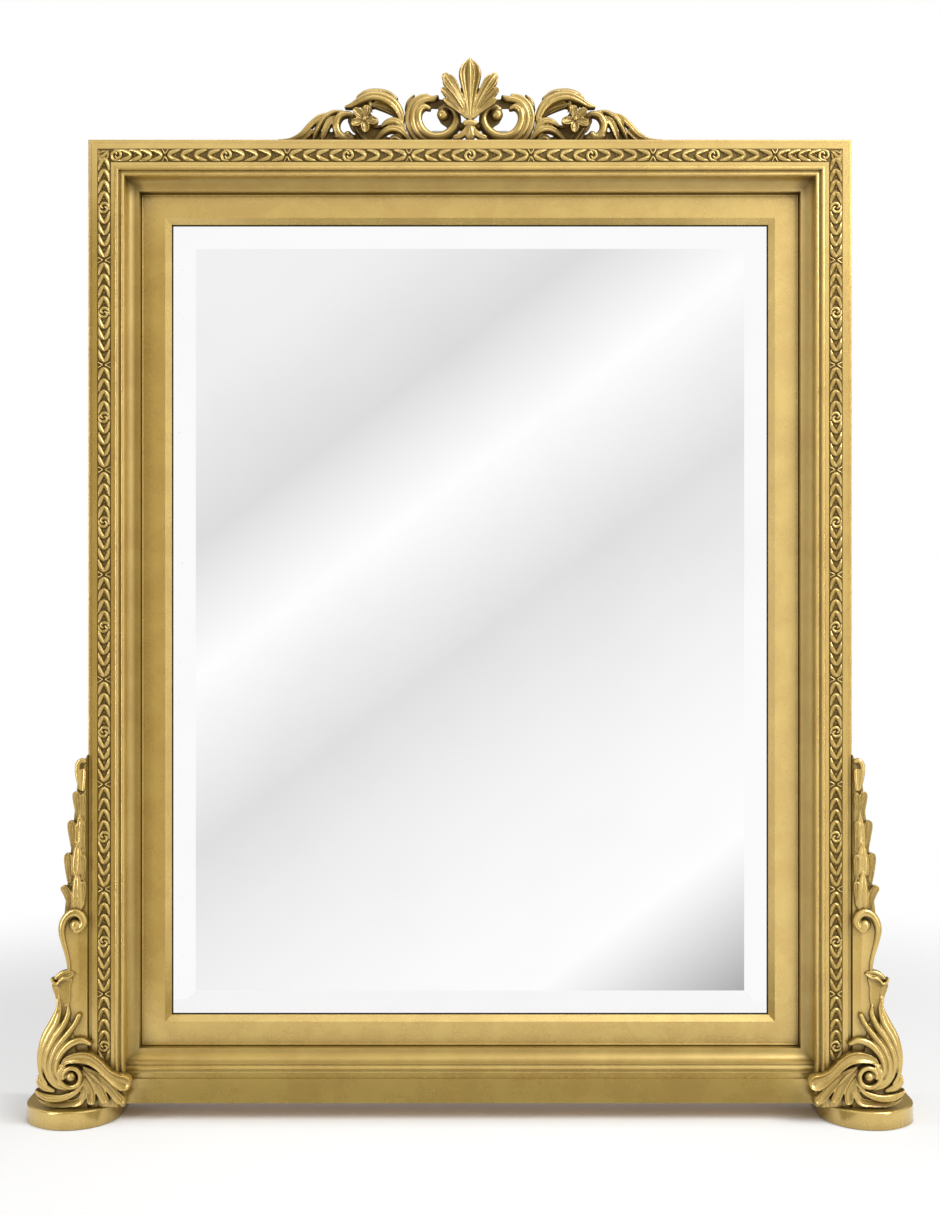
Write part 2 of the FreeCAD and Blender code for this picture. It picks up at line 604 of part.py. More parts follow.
# Husk chain, small volute and foot scroll, strokes in (outwards from the stile, up from the foot).
# The husks hang from the top of the console, and the volute sits on its chest.
HUSK_TIPS = [(21, 52), (30, 93), (37, 138), (42, 185)]
HUSK_STEM = 46
console_top = size("console_height")
husk_strokes = [[(4, console_top - 8, 5), (10, console_top - 16, 5), (14, console_top - 24, 3)]]
for tip_out, drop in HUSK_TIPS:
    tip_up = console_top - drop
    stem_up = tip_up + HUSK_STEM
    husk_strokes.append([(tip_out * 0.35, stem_up, 4), (tip_out - 7, tip_up + 18, 6),
                         (tip_out - 1.5, tip_up + 1.5, 1.5)])
    husk_strokes.append([(6, stem_up, 4), (11, tip_up + 10, 6), (14, tip_up - 26, 1.5)])
    husk_strokes.append([(2, stem_up, 3), (2, tip_up + 5, 5)])

chest = size("console_chest_up")
husk_split = chest + 31
volute_split = chest - 65
volute_strokes = [
    spiral((19, chest + 9), (16, 6), (60, -480), (5, 3.5), 18),
    [(19, chest + 9, 7)],
    [(27, chest + 22, 5), (30, chest + 33, 3)],
    [(34, chest, 6), (28, chest - 22, 7), (24, chest - 45, 7), (28, chest - 70, 8)],
]
scroll_strokes = [
    spiral((16, 50), (38, 12), (50, -470), (11, 6), 20),
    [(16, 50, 11)],
    [(40, 79, 11), (47, 105, 13), (42, 130, 12), (36, 155, 11), (30, 178, 8)],
    [(36, 168, 8), (44, 172, 6), (49, 174, 4)],
    [(32, 140, 6), (22, 144, 4)],
    [(26, 96, 12), (4, 84, 17), (-18, 72, 16), (-40, 58, 12), (-60, 50, 5)],
    [(0, 40, 20), (-26, 34, 14), (-47, 14, 6)],
    [(0, 20, 18), (-20, 12, 10), (-32, 9, 6)],
    [(-6, 6, 8), (44, 6, 8)],
]
ACROSS_LIMIT = 400
for side, sign in SIDES.items():
    stile_x = sign * size(HALF)
    foot_z = size(FOOT_TOP)
    gap = size("joint_gap")
    carving(f"husk_chain_{side}", husk_strokes, sign, -size("husk_depth"), 0,
            (gap, ACROSS_LIMIT, husk_split, console_top), stile_x, foot_z)
    carving(f"side_volute_{side}", volute_strokes, sign, -size("volute_depth"), 0,
            (gap, ACROSS_LIMIT, volute_split + gap, husk_split - gap), stile_x, foot_z)
    carving(f"foot_scroll_{side}", scroll_strokes, sign, -size("scroll_depth"), 0,
            (-ACROSS_LIMIT, ACROSS_LIMIT, 0, volute_split - gap), stile_x, foot_z)

# Crest: a palmette between two scrolls, leafy wings and a flower on each, strokes in (outwards, up)
palmette_half = [
    [(0, 30, 6), (0, 75, 12), (0, 98, 16)],
    [(0, 98, 16), (0, 114, 4)],
    [(5, 40, 5), (20, 74, 9), (34, 90, 7)],
    [(7, 40, 5), (29, 66, 7), (39, 75, 3.5)],
    [(8, 36, 5), (27, 52, 6), (37, 60, 3.5)],
    [(0, 32, 10), (0, 22, 10)],
    [(0, 22, 8), (0, 4, 9)],
    [(5, 20, 5), (20, 4, 6)],
]
palmette_strokes = palmette_half + [[(-x, z, r) for x, z, r in stroke] for stroke in palmette_half[2:5]]
palmette_strokes += [[(-x, z, r) for x, z, r in palmette_half[7]]]
crest_scroll_strokes = [
    [(46, 64, 6), (66, 66, 6.5), (80, 56, 7), (85, 42, 7), (80, 26, 7), (66, 13.5, 7.5), (46, 12.5, 7.5),
     (28, 17, 7), (12, 26, 6)],
    [(70, 64, 6), (77, 69, 2.5)],
    spiral((31.4, 40), (13.5, 5), (-100, 330), (4.5, 4.5), 16),
    [(33, 42, 7)],
    [(46, 62, 5), (58, 58, 5), (66, 50, 4.5), (64, 44, 4)],
    [(46, 62, 5), (38, 54, 5)],
    [(3, 3, 3.2), (100, 3, 3.2)],
    [(80, 27, 7), (100, 22, 7)],
    [(84, 42, 8), (100, 46, 8)],
]
wing_strokes = [
    [(88, 44, 9), (108, 60, 11), (124, 68, 10), (142, 70, 9), (158, 64, 8), (170, 56, 5), (179, 53, 2)],
    [(118, 62, 7), (138, 61, 4)],
    [(88, 22, 7), (108, 31, 6), (120, 32, 5), (129, 29, 2.5)],
    [(88, 14, 6), (104, 17, 5), (113, 14, 4), (116, 9, 3)],
    [(118, 18, 2.5), (130, 9, 5), (142, 3, 5)],
    spiral((177.5, 26.2), (14, 10), (95, 330), (4.5, 4), 10),
    [(172, 14, 5)],
    [(176, 40, 6), (196, 37, 9.5), (212, 30, 10), (230, 20, 9), (248, 10, 6), (262, 5, 4), (272, 3, 2)],
    [(198, 36, 8), (201, 5, 5)],
    [(216, 28, 8), (219, 5, 5)],
    [(232, 18, 7), (238, 4, 4)],
    [(158, 64, 6), (164, 50, 5), (172, 40, 5)],
    [(88, 2.6, 2.8), (268, 2.6, 2.8)],
]
FLOWER = (148.5, 32.6)
PETAL_TIPS = [(146, 47), (161, 44), (164, 26), (148, 15), (132, 27)]
flower_strokes = [[(FLOWER[0], FLOWER[1], 5.5)]]
for tip_out, tip_up in PETAL_TIPS:
    middle = ((FLOWER[0] + tip_out) / 2, (FLOWER[1] + tip_up) / 2, 4)
    flower_strokes.append([(FLOWER[0], FLOWER[1], 3), middle, (tip_out, tip_up, 4.5)])
CREST_LIMIT = 200
front = size("crest_setback")
middle = front + size("crest_front_depth")
back = middle + size("crest_back_depth")
top = size("frame_top")
carving("crest_palmette", palmette_strokes, 1, front, middle,
        (-ACROSS_LIMIT, ACROSS_LIMIT, 0, CREST_LIMIT), 0, top)
for side, sign in SIDES.items():
    joint = size("crest_joint")
    carving(f"crest_scroll_{side}", crest_scroll_strokes, sign, middle, back,
            (gap, joint - gap, 0, CREST_LIMIT), 0, top)
    carving(f"crest_wing_{side}", wing_strokes, sign, middle, back,
            (joint + gap, ACROSS_LIMIT, 0, CREST_LIMIT), 0, top)
    carving(f"crest_flower_{side}", flower_strokes, sign, front, middle,
            (0, ACROSS_LIMIT, 0, CREST_LIMIT), 0, top)
    drilled(f"crest_scroll_{side}", nodes[f"crest_scroll_{side}"], crest_holes)

# Angle brackets that hold the crest from behind
for (side, sign), x in zip(SIDES.items(), bracket_spots):
    upright = box(f"bracket_upright_{side}", "bracket_width", "bracket_thickness", "bracket_rise",
                  f"{x} - bracket_width/2", depth(bracket_back), "frame_top")
    tread = box(f"bracket_tread_{side}", "bracket_width", "bracket_reach", "bracket_thickness",
                f"{x} - bracket_width/2", depth(bracket_back), "frame_top")
    angle = boolean("Part::Fuse", f"bracket_angle_{side}", upright, tread)
    drilled(f"crest_bracket_{side}", angle, bundle(f"bracket_drilling_{side}", [top_holes, crest_holes]))

doc.recompute()

# Every object has to be sound before anything is written
for made in doc.Objects:
    if {"Invalid", "Error"} & set(made.State):
        raise RuntimeError(f"{made.Label} did not recompute: {made.State}")
    if made.TypeId == "PartDesign::Pocket" and made.Shape.Volume >= made.BaseFeature.Shape.Volume:
        raise RuntimeError(f"{made.Label} cuts nothing")
for label, made in nodes.items():
    if made.Shape.isNull() or not made.Shape.isValid() or not made.Shape.Solids:
        raise RuntimeError(f"{label} has no sound solid")

os.makedirs("parts", exist_ok=True)
for label, made in nodes.items():
    made.Shape.exportStep(f"parts/{label}.step")
    print(label, len(made.Shape.Solids), round(made.Shape.Volume))
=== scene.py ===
import bmesh
import bpy
import json
import math
from mathutils import Matrix, Vector


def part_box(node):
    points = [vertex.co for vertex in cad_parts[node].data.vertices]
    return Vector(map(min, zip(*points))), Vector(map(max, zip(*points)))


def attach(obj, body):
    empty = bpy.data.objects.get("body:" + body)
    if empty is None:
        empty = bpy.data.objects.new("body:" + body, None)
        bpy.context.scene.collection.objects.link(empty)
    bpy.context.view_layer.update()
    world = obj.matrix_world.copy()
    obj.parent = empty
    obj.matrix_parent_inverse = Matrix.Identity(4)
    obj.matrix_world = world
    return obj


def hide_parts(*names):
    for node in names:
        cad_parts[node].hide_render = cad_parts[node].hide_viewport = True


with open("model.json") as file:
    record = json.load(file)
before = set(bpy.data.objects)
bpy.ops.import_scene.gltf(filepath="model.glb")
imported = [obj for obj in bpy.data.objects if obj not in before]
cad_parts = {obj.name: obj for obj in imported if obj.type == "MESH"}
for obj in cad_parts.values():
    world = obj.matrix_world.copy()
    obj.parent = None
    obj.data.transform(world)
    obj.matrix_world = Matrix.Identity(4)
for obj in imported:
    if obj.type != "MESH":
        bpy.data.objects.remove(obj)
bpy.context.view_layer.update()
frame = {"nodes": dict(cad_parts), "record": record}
nodes = frame["nodes"]
scene = bpy.context.scene
quarter = math.pi / 2
perMetre = 1000  # carvings and bands are drawn in mm
print("frame loaded:", len(nodes), "nodes")


# Shader maths: a wrapped socket that adds its own Math nodes

class Signal:
    def __init__(self, paint, socket):
        self.paint = paint
        self.socket = socket

    def maths(self, operation, first, second=0.0, clamp=False):
        return self.paint.add("ShaderNodeMath", {"operation": operation, "use_clamp": clamp}, "Value",
                              {0: first, 1: second})

    def __add__(self, other):
        return self.maths("ADD", self, other)

    def __sub__(self, other):
        return self.maths("SUBTRACT", self, other)

    def __mul__(self, other):
        return self.maths("MULTIPLY", self, other)

    def __truediv__(self, other):
        return self.maths("DIVIDE", self, other)

    def __radd__(self, other):
        return self.maths("ADD", other, self)

    def __rsub__(self, other):
        return self.maths("SUBTRACT", other, self)

    def clamp(self):
        return self.maths("ADD", self, 0.0, True)

    def larger(self, other):
        return self.maths("MAXIMUM", self, other)

    def size(self):
        return self.maths("ABSOLUTE", self)


class Paint:
    def __init__(self, name, kind="Material"):
        self.block = {"Material": bpy.data.materials, "World": bpy.data.worlds}[kind].new(name)
        self.block.use_nodes = True
        self.tree = self.block.node_tree
        self.tree.nodes.clear()
        self.output = self.tree.nodes.new("ShaderNodeOutput" + kind)

    # one way to make any node: type, settings, the output wanted, values or links of its sockets
    def add(self, kind, settings, output, inputs):
        node = self.tree.nodes.new(kind)
        for key, value in settings.items():
            if key == "stops":
                self.setStops(node, value)
            else:
                setattr(node, key, value)
        for key, value in inputs.items():
            self.feed(node.inputs[key], value)
        return Signal(self, node.outputs[output])

    def feed(self, socket, value):
        if isinstance(value, Signal):
            self.tree.links.new(value.socket, socket)
        elif hasattr(value, "__len__") and len(value) == 3 and socket.type == "RGBA":
            socket.default_value = (*value, 1.0)
        else:
            socket.default_value = value

    def setStops(self, node, stops):
        ramp = node.color_ramp
        while len(ramp.elements) < len(stops):
            ramp.elements.new(0.5)
        for element, (position, colour) in zip(ramp.elements, stops):
            element.position = position
            element.color = (*colour, 1.0)

    # scale is given for grain along Z, and turned with the grain where it runs across, along X
    def place(self, scale=(1, 1, 1), across=False, shift=(0, 0, 0)):
        coords = self.add("ShaderNodeTexCoord", {}, "Object", {})
        if across:
            scale = scale[::-1]
        return self.add("ShaderNodeMapping", {}, "Vector",
                        {"Vector": coords, "Scale": scale, "Rotation": (0, quarter if across else 0, 0),
                         "Location": shift})

    # the X, Y and Z of a place
    def parts(self, spot):
        split = self.tree.nodes.new("ShaderNodeSeparateXYZ")
        self.feed(split.inputs[0], spot)
        return [Signal(self, split.outputs[axis]) for axis in "XYZ"]

    def noise(self, spot, scale, detail=3.0, rough=0.5, warp=0.0):
        return self.add("ShaderNodeTexNoise", {}, "Fac",
                        {"Vector": spot, "Scale": scale, "Detail": detail, "Roughness": rough,
                         "Distortion": warp})

    def ramp(self, value, stops):
        return self.add("ShaderNodeValToRGB", {"stops": stops}, "Color", {"Fac": value})

    def blend(self, amount, first, second):
        return self.add("ShaderNodeMix", {"data_type": "RGBA"}, 2, {0: amount, 6: first, 7: second})

    def between(self, amount, first, second):
        return self.add("ShaderNodeMix", {"data_type": "FLOAT"}, 0, {0: amount, 2: first, 3: second})

    def step(self, value, low, high, bottom=0.0, top=1.0):
        return self.add("ShaderNodeMapRange", {"interpolation_type": "SMOOTHSTEP"}, "Result",
                        {"Value": value, "From Min": low, "From Max": high, "To Min": bottom, "To Max": top})

    # none where the value is low, and the whole amount where it is high
    def share(self, value, low, high, amount):
        return self.step(value, low, high) * amount

    def ray(self, kind):
        return self.add("ShaderNodeLightPath", {}, "Is " + kind + " Ray", {})

    def bump(self, height, strength, distance):
        return self.add("ShaderNodeBump", {}, "Normal",
                        {"Height": height, "Strength": strength, "Distance": distance})

    def mixShaders(self, amount, first, second):
        return self.add("ShaderNodeMixShader", {}, "Shader", {0: amount, 1: first, 2: second})

    def show(self, shader):
        self.tree.links.new(shader.socket, self.output.inputs["Surface"])
        return self.block

    def finish(self, **sockets):
        return self.show(self.add("ShaderNodeBsdfPrincipled", {}, "BSDF",
                                  {key.replace("_", " "): value for key, value in sockets.items()}))


# A colour given as 0 to 255 on screen, turned into the values a shader takes
def linear(red, green, blue):
    shares = (red / 255, green / 255, blue / 255)
    return tuple(((share + 0.055) / 1.055) ** 2.4 if share > 0.04 else share / 12.92 for share in shares)


# In every look a noise is given as scale, detail, roughness and warp, a span as low and high, a part as
# low, high and amount, and a bump as strength and depth

# Satin gold leaf: warm and cool patches, fine brush marks, and brown toning in the hollows that is partly
# patina and partly painted shade

giltLook = {
    "pale": linear(209, 177, 84), "deep": linear(196, 161, 69), "toningShade": linear(56, 36, 8),
    "bole": linear(150, 106, 52), "patches": (18.0, 5.0, 0.65, 0.3), "flecks": (95.0, 4.0, 0.65),
    "brush": (260, 260, 9), "brushMarks": (1.0, 3.0, 0.6), "ragged": 0.08, "paleSpan": (0.32, 0.70),
    "recessShadePart": (0.48, 0.85, 0.7), "rubbedPart": (0.66, 0.78, 0.2), "toningShadeAmount": 0.85,
    "metal": 0.66, "metalLost": 0.25, "coatIor": 1.85, "fleckDull": 0.14, "toningShadeDull": 0.25,
    "brushDull": 0.08, "bump": (0.16, 0.0006),
}


def giltPaint(name, across, reach, toningShadeFrom, toningShadeTo, gloss, evenShade=0.0):
    look = giltLook
    paint = Paint(name)
    spot = paint.place()
    patches = paint.noise(spot, *look["patches"])
    flecks = paint.noise(spot, *look["flecks"])
    marks = paint.noise(paint.place(look["brush"], across), *look["brushMarks"])
    # Painted shade, partly patina: the hollows found by occlusion, the deeper parts of a carving and an even
    # share per look turn brown and lose their coat
    recess = paint.add("ShaderNodeAttribute", {"attribute_name": "recess"}, "Fac", {})
    hollow = 1.0 - paint.add("ShaderNodeAmbientOcclusion", {"samples": 6}, "AO", {"Distance": reach})
    toningShade = paint.step(hollow + (flecks - 0.5) * look["ragged"], toningShadeFrom, toningShadeTo)
    toningShade = (toningShade + paint.share(recess, *look["recessShadePart"]) + evenShade).clamp()
    leaf = paint.blend(paint.step(patches, *look["paleSpan"]), look["deep"], look["pale"])
    rubbed = paint.share(flecks * 0.7 + patches * 0.3, *look["rubbedPart"])
    leaf = paint.blend(rubbed, leaf, look["bole"])
    return paint.finish(
        Base_Color=paint.blend(toningShade * look["toningShadeAmount"], leaf, look["toningShade"]),
        Metallic=look["metal"] - toningShade * look["metalLost"],
        Coat_Weight=1.0 - toningShade, Coat_Roughness=gloss, Coat_IOR=look["coatIor"],
        Roughness=(gloss + (flecks - 0.5) * look["fleckDull"] + toningShade * look["toningShadeDull"]
                   + (marks - 0.5) * look["brushDull"]),
        Normal=paint.bump(marks * 0.6 + flecks * 0.4, *look["bump"]))


# Raw pine: long grain with darker late-wood lines, along Z or turned along X

pineLook = {
    "early": linear(206, 168, 116), "late": linear(150, 104, 58), "grime": linear(92, 66, 40),
    "grain": (1, 1, 0.05), "sway": (14.0, 3.0, 0.5, 0.4), "swayPart": (0.40, 0.75, 0.30),
    "rings": {"Scale": 34.0, "Distortion": 3.0, "Detail": 2.0, "Detail Scale": 1.2, "Detail Roughness": 0.5},
    "ringPart": (0.30, 1.0, 0.42), "fibres": (520, 520, 9), "fibre": (1.0, 3.0, 0.6),
    "fibrePart": (0.52, 0.72, 0.25), "dirt": (6.0, 5.0, 0.6), "dirtPart": (0.50, 0.85, 0.30),
    "dull": 0.62, "fibreDull": 0.25, "bump": (0.25, 0.0008),
}


def pinePaint(name, across):
    look = pineLook
    paint = Paint(name)
    spot = paint.place(look["grain"], across)
    sway = paint.noise(spot, *look["sway"])
    rings = paint.add("ShaderNodeTexWave", {"wave_type": "BANDS", "bands_direction": "DIAGONAL"}, "Fac",
                      {"Vector": spot, **look["rings"]})
    fibre = paint.noise(paint.place(look["fibres"], across), *look["fibre"])
    dirt = paint.noise(paint.place(), *look["dirt"])
    wood = paint.blend(paint.share(rings, *look["ringPart"]), look["early"], look["late"])
    wood = paint.blend(paint.share(sway, *look["swayPart"]), wood, look["late"])
    wood = paint.blend(paint.share(fibre, *look["fibrePart"]), wood, look["late"])
    colour = paint.blend(paint.share(dirt, *look["dirtPart"]), wood, look["grime"])
    return paint.finish(Base_Color=colour, Roughness=look["dull"] + (fibre - 0.5) * look["fibreDull"],
                        Normal=paint.bump(fibre * 0.7 + rings * 0.3, *look["bump"]))


# Brown plywood backboard with open pores and water marks

boardLook = {
    "light": linear(164, 122, 78), "dark": linear(112, 78, 46), "stain": linear(78, 54, 34),
    "grain": (1, 1, 0.04), "figure": (22.0, 5.0, 0.6, 0.6), "figurePart": (0.32, 0.70, 0.65),
    "pores": (520, 520, 14), "pore": (1.0, 2.0, 0.7), "porePart": (0.52, 0.72, 0.45),
    "marks": (2.6, 5.0, 0.55, 0.8), "markPart": (0.52, 0.80, 0.35),
    "dull": 0.66, "poreDull": 0.2, "bump": (0.2, 0.0006),
}


def boardPaint(name):
    look = boardLook
    paint = Paint(name)
    figure = paint.noise(paint.place(look["grain"]), *look["figure"])
    pores = paint.noise(paint.place(look["pores"]), *look["pore"])
    marks = paint.noise(paint.place(), *look["marks"])
    wood = paint.blend(paint.share(figure, *look["figurePart"]), look["light"], look["dark"])
    wood = paint.blend(paint.share(pores, *look["porePart"]), wood, look["stain"])
    colour = paint.blend(paint.share(marks, *look["markPart"]), wood, look["stain"])
    return paint.finish(Base_Color=colour, Roughness=look["dull"] + (pores - 0.5) * look["poreDull"],
                        Normal=paint.bump(1.0 - pores, *look["bump"]))


# Silvered plate: clear, with faint cloudiness in the silver and a dark line where it meets the liner, a
# painted reflection of the dark rebate

mirrorLook = {
    "silver": (0.908, 0.905, 0.910), "cloud": (0.850, 0.846, 0.852), "edge": (0.03, 0.03, 0.03),
    "haze": (3.2, 5.0, 0.6), "hazePart": (0.4, 0.8, 0.5), "specks": (420.0, 2.0, 0.5),
    "speckPart": (0.74, 0.8, 0.03), "sightHalf": (0.427, 0.5655), "middle": 0.7095,
    "edgeWidth": 0.0016, "edgeSoft": 0.0003,
}


def mirrorPaint(name):
    look = mirrorLook
    paint = Paint(name)
    haze = paint.noise(paint.place(), *look["haze"])
    specks = paint.noise(paint.place(), *look["specks"])
    colour = paint.blend(paint.share(haze, *look["hazePart"]), look["silver"], look["cloud"])
    # Painted reflection: the plate darkens along the sight edge, where it would mirror the dark rebate
    across, _, up = paint.parts(paint.place(shift=(0, 0, -look["middle"])))
    edges = []
    for away, half in zip((across.size(), up.size()), look["sightHalf"]):
        start = half - look["edgeWidth"]
        edges.append(paint.step(away, start - look["edgeSoft"], start))
    edge = edges[0].larger(edges[1])
    return paint.finish(Base_Color=paint.blend(edge, colour, look["edge"]), Metallic=1.0,
                        Roughness=paint.share(specks, *look["speckPart"]))


# Hardware: aged brass and dull plated steel, both with fine scratches and tarnish

metalLook = {"tarnish": (120.0, 4.0, 0.6, 0.5), "tarnishSpan": (0.42, 0.72), "tarnishDull": 0.22,
             "scratches": (900, 160, 900), "scratch": (1.0, 2.0, 0.5), "scratchDull": 0.12,
             "bump": (0.12, 0.0003)}


def metalPaint(name, bright, dull, gloss):
    look = metalLook
    paint = Paint(name)
    tarnish = paint.step(paint.noise(paint.place(), *look["tarnish"]), *look["tarnishSpan"])
    scratch = paint.noise(paint.place(look["scratches"]), *look["scratch"])
    return paint.finish(Base_Color=paint.blend(tarnish, bright, dull), Metallic=1.0,
                        Roughness=(gloss + tarnish * look["tarnishDull"]
                                   + (scratch - 0.5) * look["scratchDull"]),
                        Normal=paint.bump(scratch, *look["bump"]))


# Felt: matted fibres in two greens

feltLook = {"dark": linear(24, 40, 26), "light": linear(66, 88, 62), "pale": linear(120, 124, 108),
            "nap": (1, 1, 2.5), "fibres": (900.0, 4.0, 0.75, 1.2), "lint": (60.0, 3.0, 0.6),
            "lintPart": (0.62, 0.8, 0.4), "bump": (0.6, 0.0008)}


def feltPaint(name):
    look = feltLook
    paint = Paint(name)
    fibres = paint.noise(paint.place(look["nap"]), *look["fibres"])
    lint = paint.noise(paint.place(), *look["lint"])
    colour = paint.blend(fibres, look["dark"], look["light"])
    colour = paint.blend(paint.share(lint, *look["lintPart"]), colour, look["pale"])
    return paint.finish(Base_Color=colour, Roughness=0.95, Sheen_Weight=0.4,
                        Normal=paint.bump(fibres, *look["bump"]))


# each gilt look: name, grain across, reach of the hollows, toning and painted shade from and to, gloss, even
# painted shade
gilt = {"up": giltPaint("gilt_upright", False, 0.030, 0.16, 0.82, 0.22),
        "across": giltPaint("gilt_across", True, 0.030, 0.16, 0.82, 0.22),
        # the coves carry extra painted shade, the crest a little, and the strip between the laurel leaves is
        # painted nearly dark as shade
        "cove": giltPaint("gilt_cove_shaded", False, 0.030, 0.08, 0.66, 0.30, 0.22),
        "carved": giltPaint("gilt_carved", False, 0.020, 0.03, 0.44, 0.20),
        "crest": giltPaint("gilt_crest", False, 0.024, 0.02, 0.36, 0.18, 0.08),
        "shadeStrip": giltPaint("gilt_shade_strip", False, 0.014, 0.10, 0.70, 0.29, 0.97)}
pine = {"up": pinePaint("pine_upright", False), "across": pinePaint("pine_across", True)}
plywood = boardPaint("plywood_board")
silvered = mirrorPaint("silvered_plate")
brass = metalPaint("aged_brass", linear(206, 168, 96), linear(120, 88, 42), 0.26)
steel = metalPaint("plated_steel", linear(176, 176, 172), linear(112, 110, 104), 0.34)
felt = feltPaint("green_felt")
finishes = {"mirror": silvered, "board": plywood, "brass": brass, "steel": steel, "felt": felt}
acrossWords = ("_top", "_bottom", "base_rail", "batten")

slotOf = {entry["node"]: entry["material_slot"] for entry in frame["record"]["subparts"]}
for name, node in nodes.items():
    way = "across" if any(word in name for word in acrossWords) else "up"
    way = "cove" if name.startswith("cove") else way
    slotName = slotOf[name]
    look = {"gilt": gilt, "pine": pine}.get(slotName)
    node.data.materials.clear()
    node.data.materials.append(look[way] if look else finishes[slotName])
print("materials on the CAD nodes: done")


# Carving: each stroke has a section, its slope, and a smooth line through (across, up, half width, crown
# height) in mm, with straight walls down to the back. A boss is a ball: across, up, radius and height

carveLook = {"voxel": 0.0008, "spacing": 1.4, "smoothing": 5, "softness": 0.5, "acrossSteps": 14,
             "rim": 0.9, "rimFall": 0.15, "leastWidth": 0.25, "leastHeight": 0.4,
             "capAngles": (0.5, 1.0, 1.35), "ballSegments": 20, "ballRings": 12, "postShare": 0.9}


# Height over a stroke's edge, 1 at its crown, for an offset of -1 to 1 from its middle line
def sectionHeight(kind, offset):
    away = abs(offset)
    rim = carveLook["rim"]
    dome = math.sqrt(max(0.0, 1 - away ** 2))
    if kind == "scoop":
        return 0.15 + 0.85 * (away / rim) ** 2 if away < rim else 1 - 0.5 * ((away - rim) / 0.1) ** 2
    if kind == "flute":
        return 0.64 + 0.36 * math.cos(2 * math.pi * away / rim) if away < rim else 1 - 4 * (away - rim)
    if kind == "vein":
        return dome * (1 - 0.42 * math.exp(-(away / 0.2) ** 2))
    if kind == "keel":
        return 1 - away ** 1.15
    if kind == "flare":
        return ((offset + 1) / 2) ** 2
    return dome


def smoothLine(points, spacing):
    spots = [Vector(point) for point in points]
    spots = [2 * spots[0] - spots[1], *spots, 2 * spots[-1] - spots[-2]]
    line = []
    for before, start, end, after in zip(spots, spots[1:], spots[2:], spots[3:]):
        steps = max(2, math.ceil((end - start).xy.length / spacing))
        for step in range(steps):
            t = step / steps
            line.append(0.5 * (2 * start + (end - before) * t
                               + (2 * before - 5 * start + 4 * end - after) * t ** 2
                               + (3 * start - before - 3 * end + after) * t ** 3))
    line.append(spots[-2])
    return line


def roundedEnds(line, kind, slope):
    fall = carveLook["rimFall"] if kind == "scoop" else slope  # a hollow leaf keeps its rim round the tip
    for end, inner in ((0, 1), (-1, -2)):
        tip = line[end].copy()
        ahead = (tip - line[inner]).xy.normalized()
        caps = []
        for angle in carveLook["capAngles"]:
            reach = tip[2] * math.sin(angle)
            width = tip[2] * math.cos(angle)
            caps.append(Vector((tip[0] + ahead.x * reach, tip[1] + ahead.y * reach, width,
                                tip[3] - fall * (tip[2] - width))))
        line = [*reversed(caps), *line] if end == 0 else [*line, *caps]
    return line


def addStroke(shape, kind, slope, points, steps, spacing, rounded):
    line = smoothLine(points, spacing)
    if rounded:
        line = roundedEnds(line, kind, slope)
    rings = []
    for index, spot in enumerate(line):
        ahead = (line[min(index + 1, len(line) - 1)] - line[max(index - 1, 0)]).xy.normalized()
        side = Vector((-ahead.y, ahead.x))
        width = max(spot[2], carveLook["leastWidth"])
        ring = [(spot.xy - side * width, 0.0)]
        for step in range(steps + 1):
            offset = math.sin((step / steps - 0.5) * math.pi)
            height = spot[3] - slope * width * (1 - sectionHeight(kind, offset))
            ring.append((spot.xy + side * width * offset, max(height, carveLook["leastHeight"])))
        ring.append((spot.xy + side * width, 0.0))
        rings.append([shape.verts.new((place.x, place.y, height)) for place, height in ring])
    for ring, following in zip(rings, rings[1:]):
        for index in range(len(ring)):
            follow = (index + 1) % len(ring)
            shape.faces.new((ring[index], ring[follow], following[follow], following[index]))
    shape.faces.new(rings[0])
    shape.faces.new(reversed(rings[-1]))


def addBoss(shape, across, up, radius, height):
    spread = Matrix.Translation((across, up, height - radius)) @ Matrix.Scale(radius, 4)
    segments = carveLook["ballSegments"]
    bmesh.ops.create_uvsphere(shape, u_segments=segments, v_segments=carveLook["ballRings"], radius=1,
                              matrix=spread)
    post = Matrix.Translation((across, up, (height - radius) / 2))
    thick = radius * carveLook["postShare"]
    bmesh.ops.create_cone(shape, cap_ends=True, segments=segments, radius1=thick, radius2=thick,
                          depth=height - radius, matrix=post)


def meshFrom(shape, name):
    mesh = bpy.data.meshes.new(name)
    shape.to_mesh(mesh)
    shape.free()
    return mesh


def finishPiece(name, mesh, looks, replaced):
    piece = bpy.data.objects.new(name, mesh)
    scene.collection.objects.link(piece)
    if not mesh.materials:
        for paint in looks:
            mesh.materials.append(paint)
    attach(piece, "frame")
    if replaced:
        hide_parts(replaced)
    return piece


def selectOnly(piece):
    bpy.ops.object.select_all(action="DESELECT")
    bpy.context.view_layer.objects.active = piece
    piece.select_set(True)


# Turns a drawing in mm, with its height towards Z, into an upright piece with its back at origin
def upright(mesh, origin, turn=0):
    stand = Matrix.Rotation(quarter, 4, "X") @ Matrix.Rotation(-turn, 4, "Z") @ Matrix.Scale(1 / perMetre, 4)
    mesh.transform(Matrix.Translation(origin) @ stand)


# How deep each point lies: 0 at the highest crown, 1 at the back; the gilt paints shade into the deeper
# parts from it
def markRecess(mesh, back):
    heights = [back - vertex.co.y for vertex in mesh.vertices]
    crown = max(heights)
    recess = mesh.attributes.new("recess", "FLOAT", "POINT")
    recess.data.foreach_set("value", [1 - height / crown for height in heights])


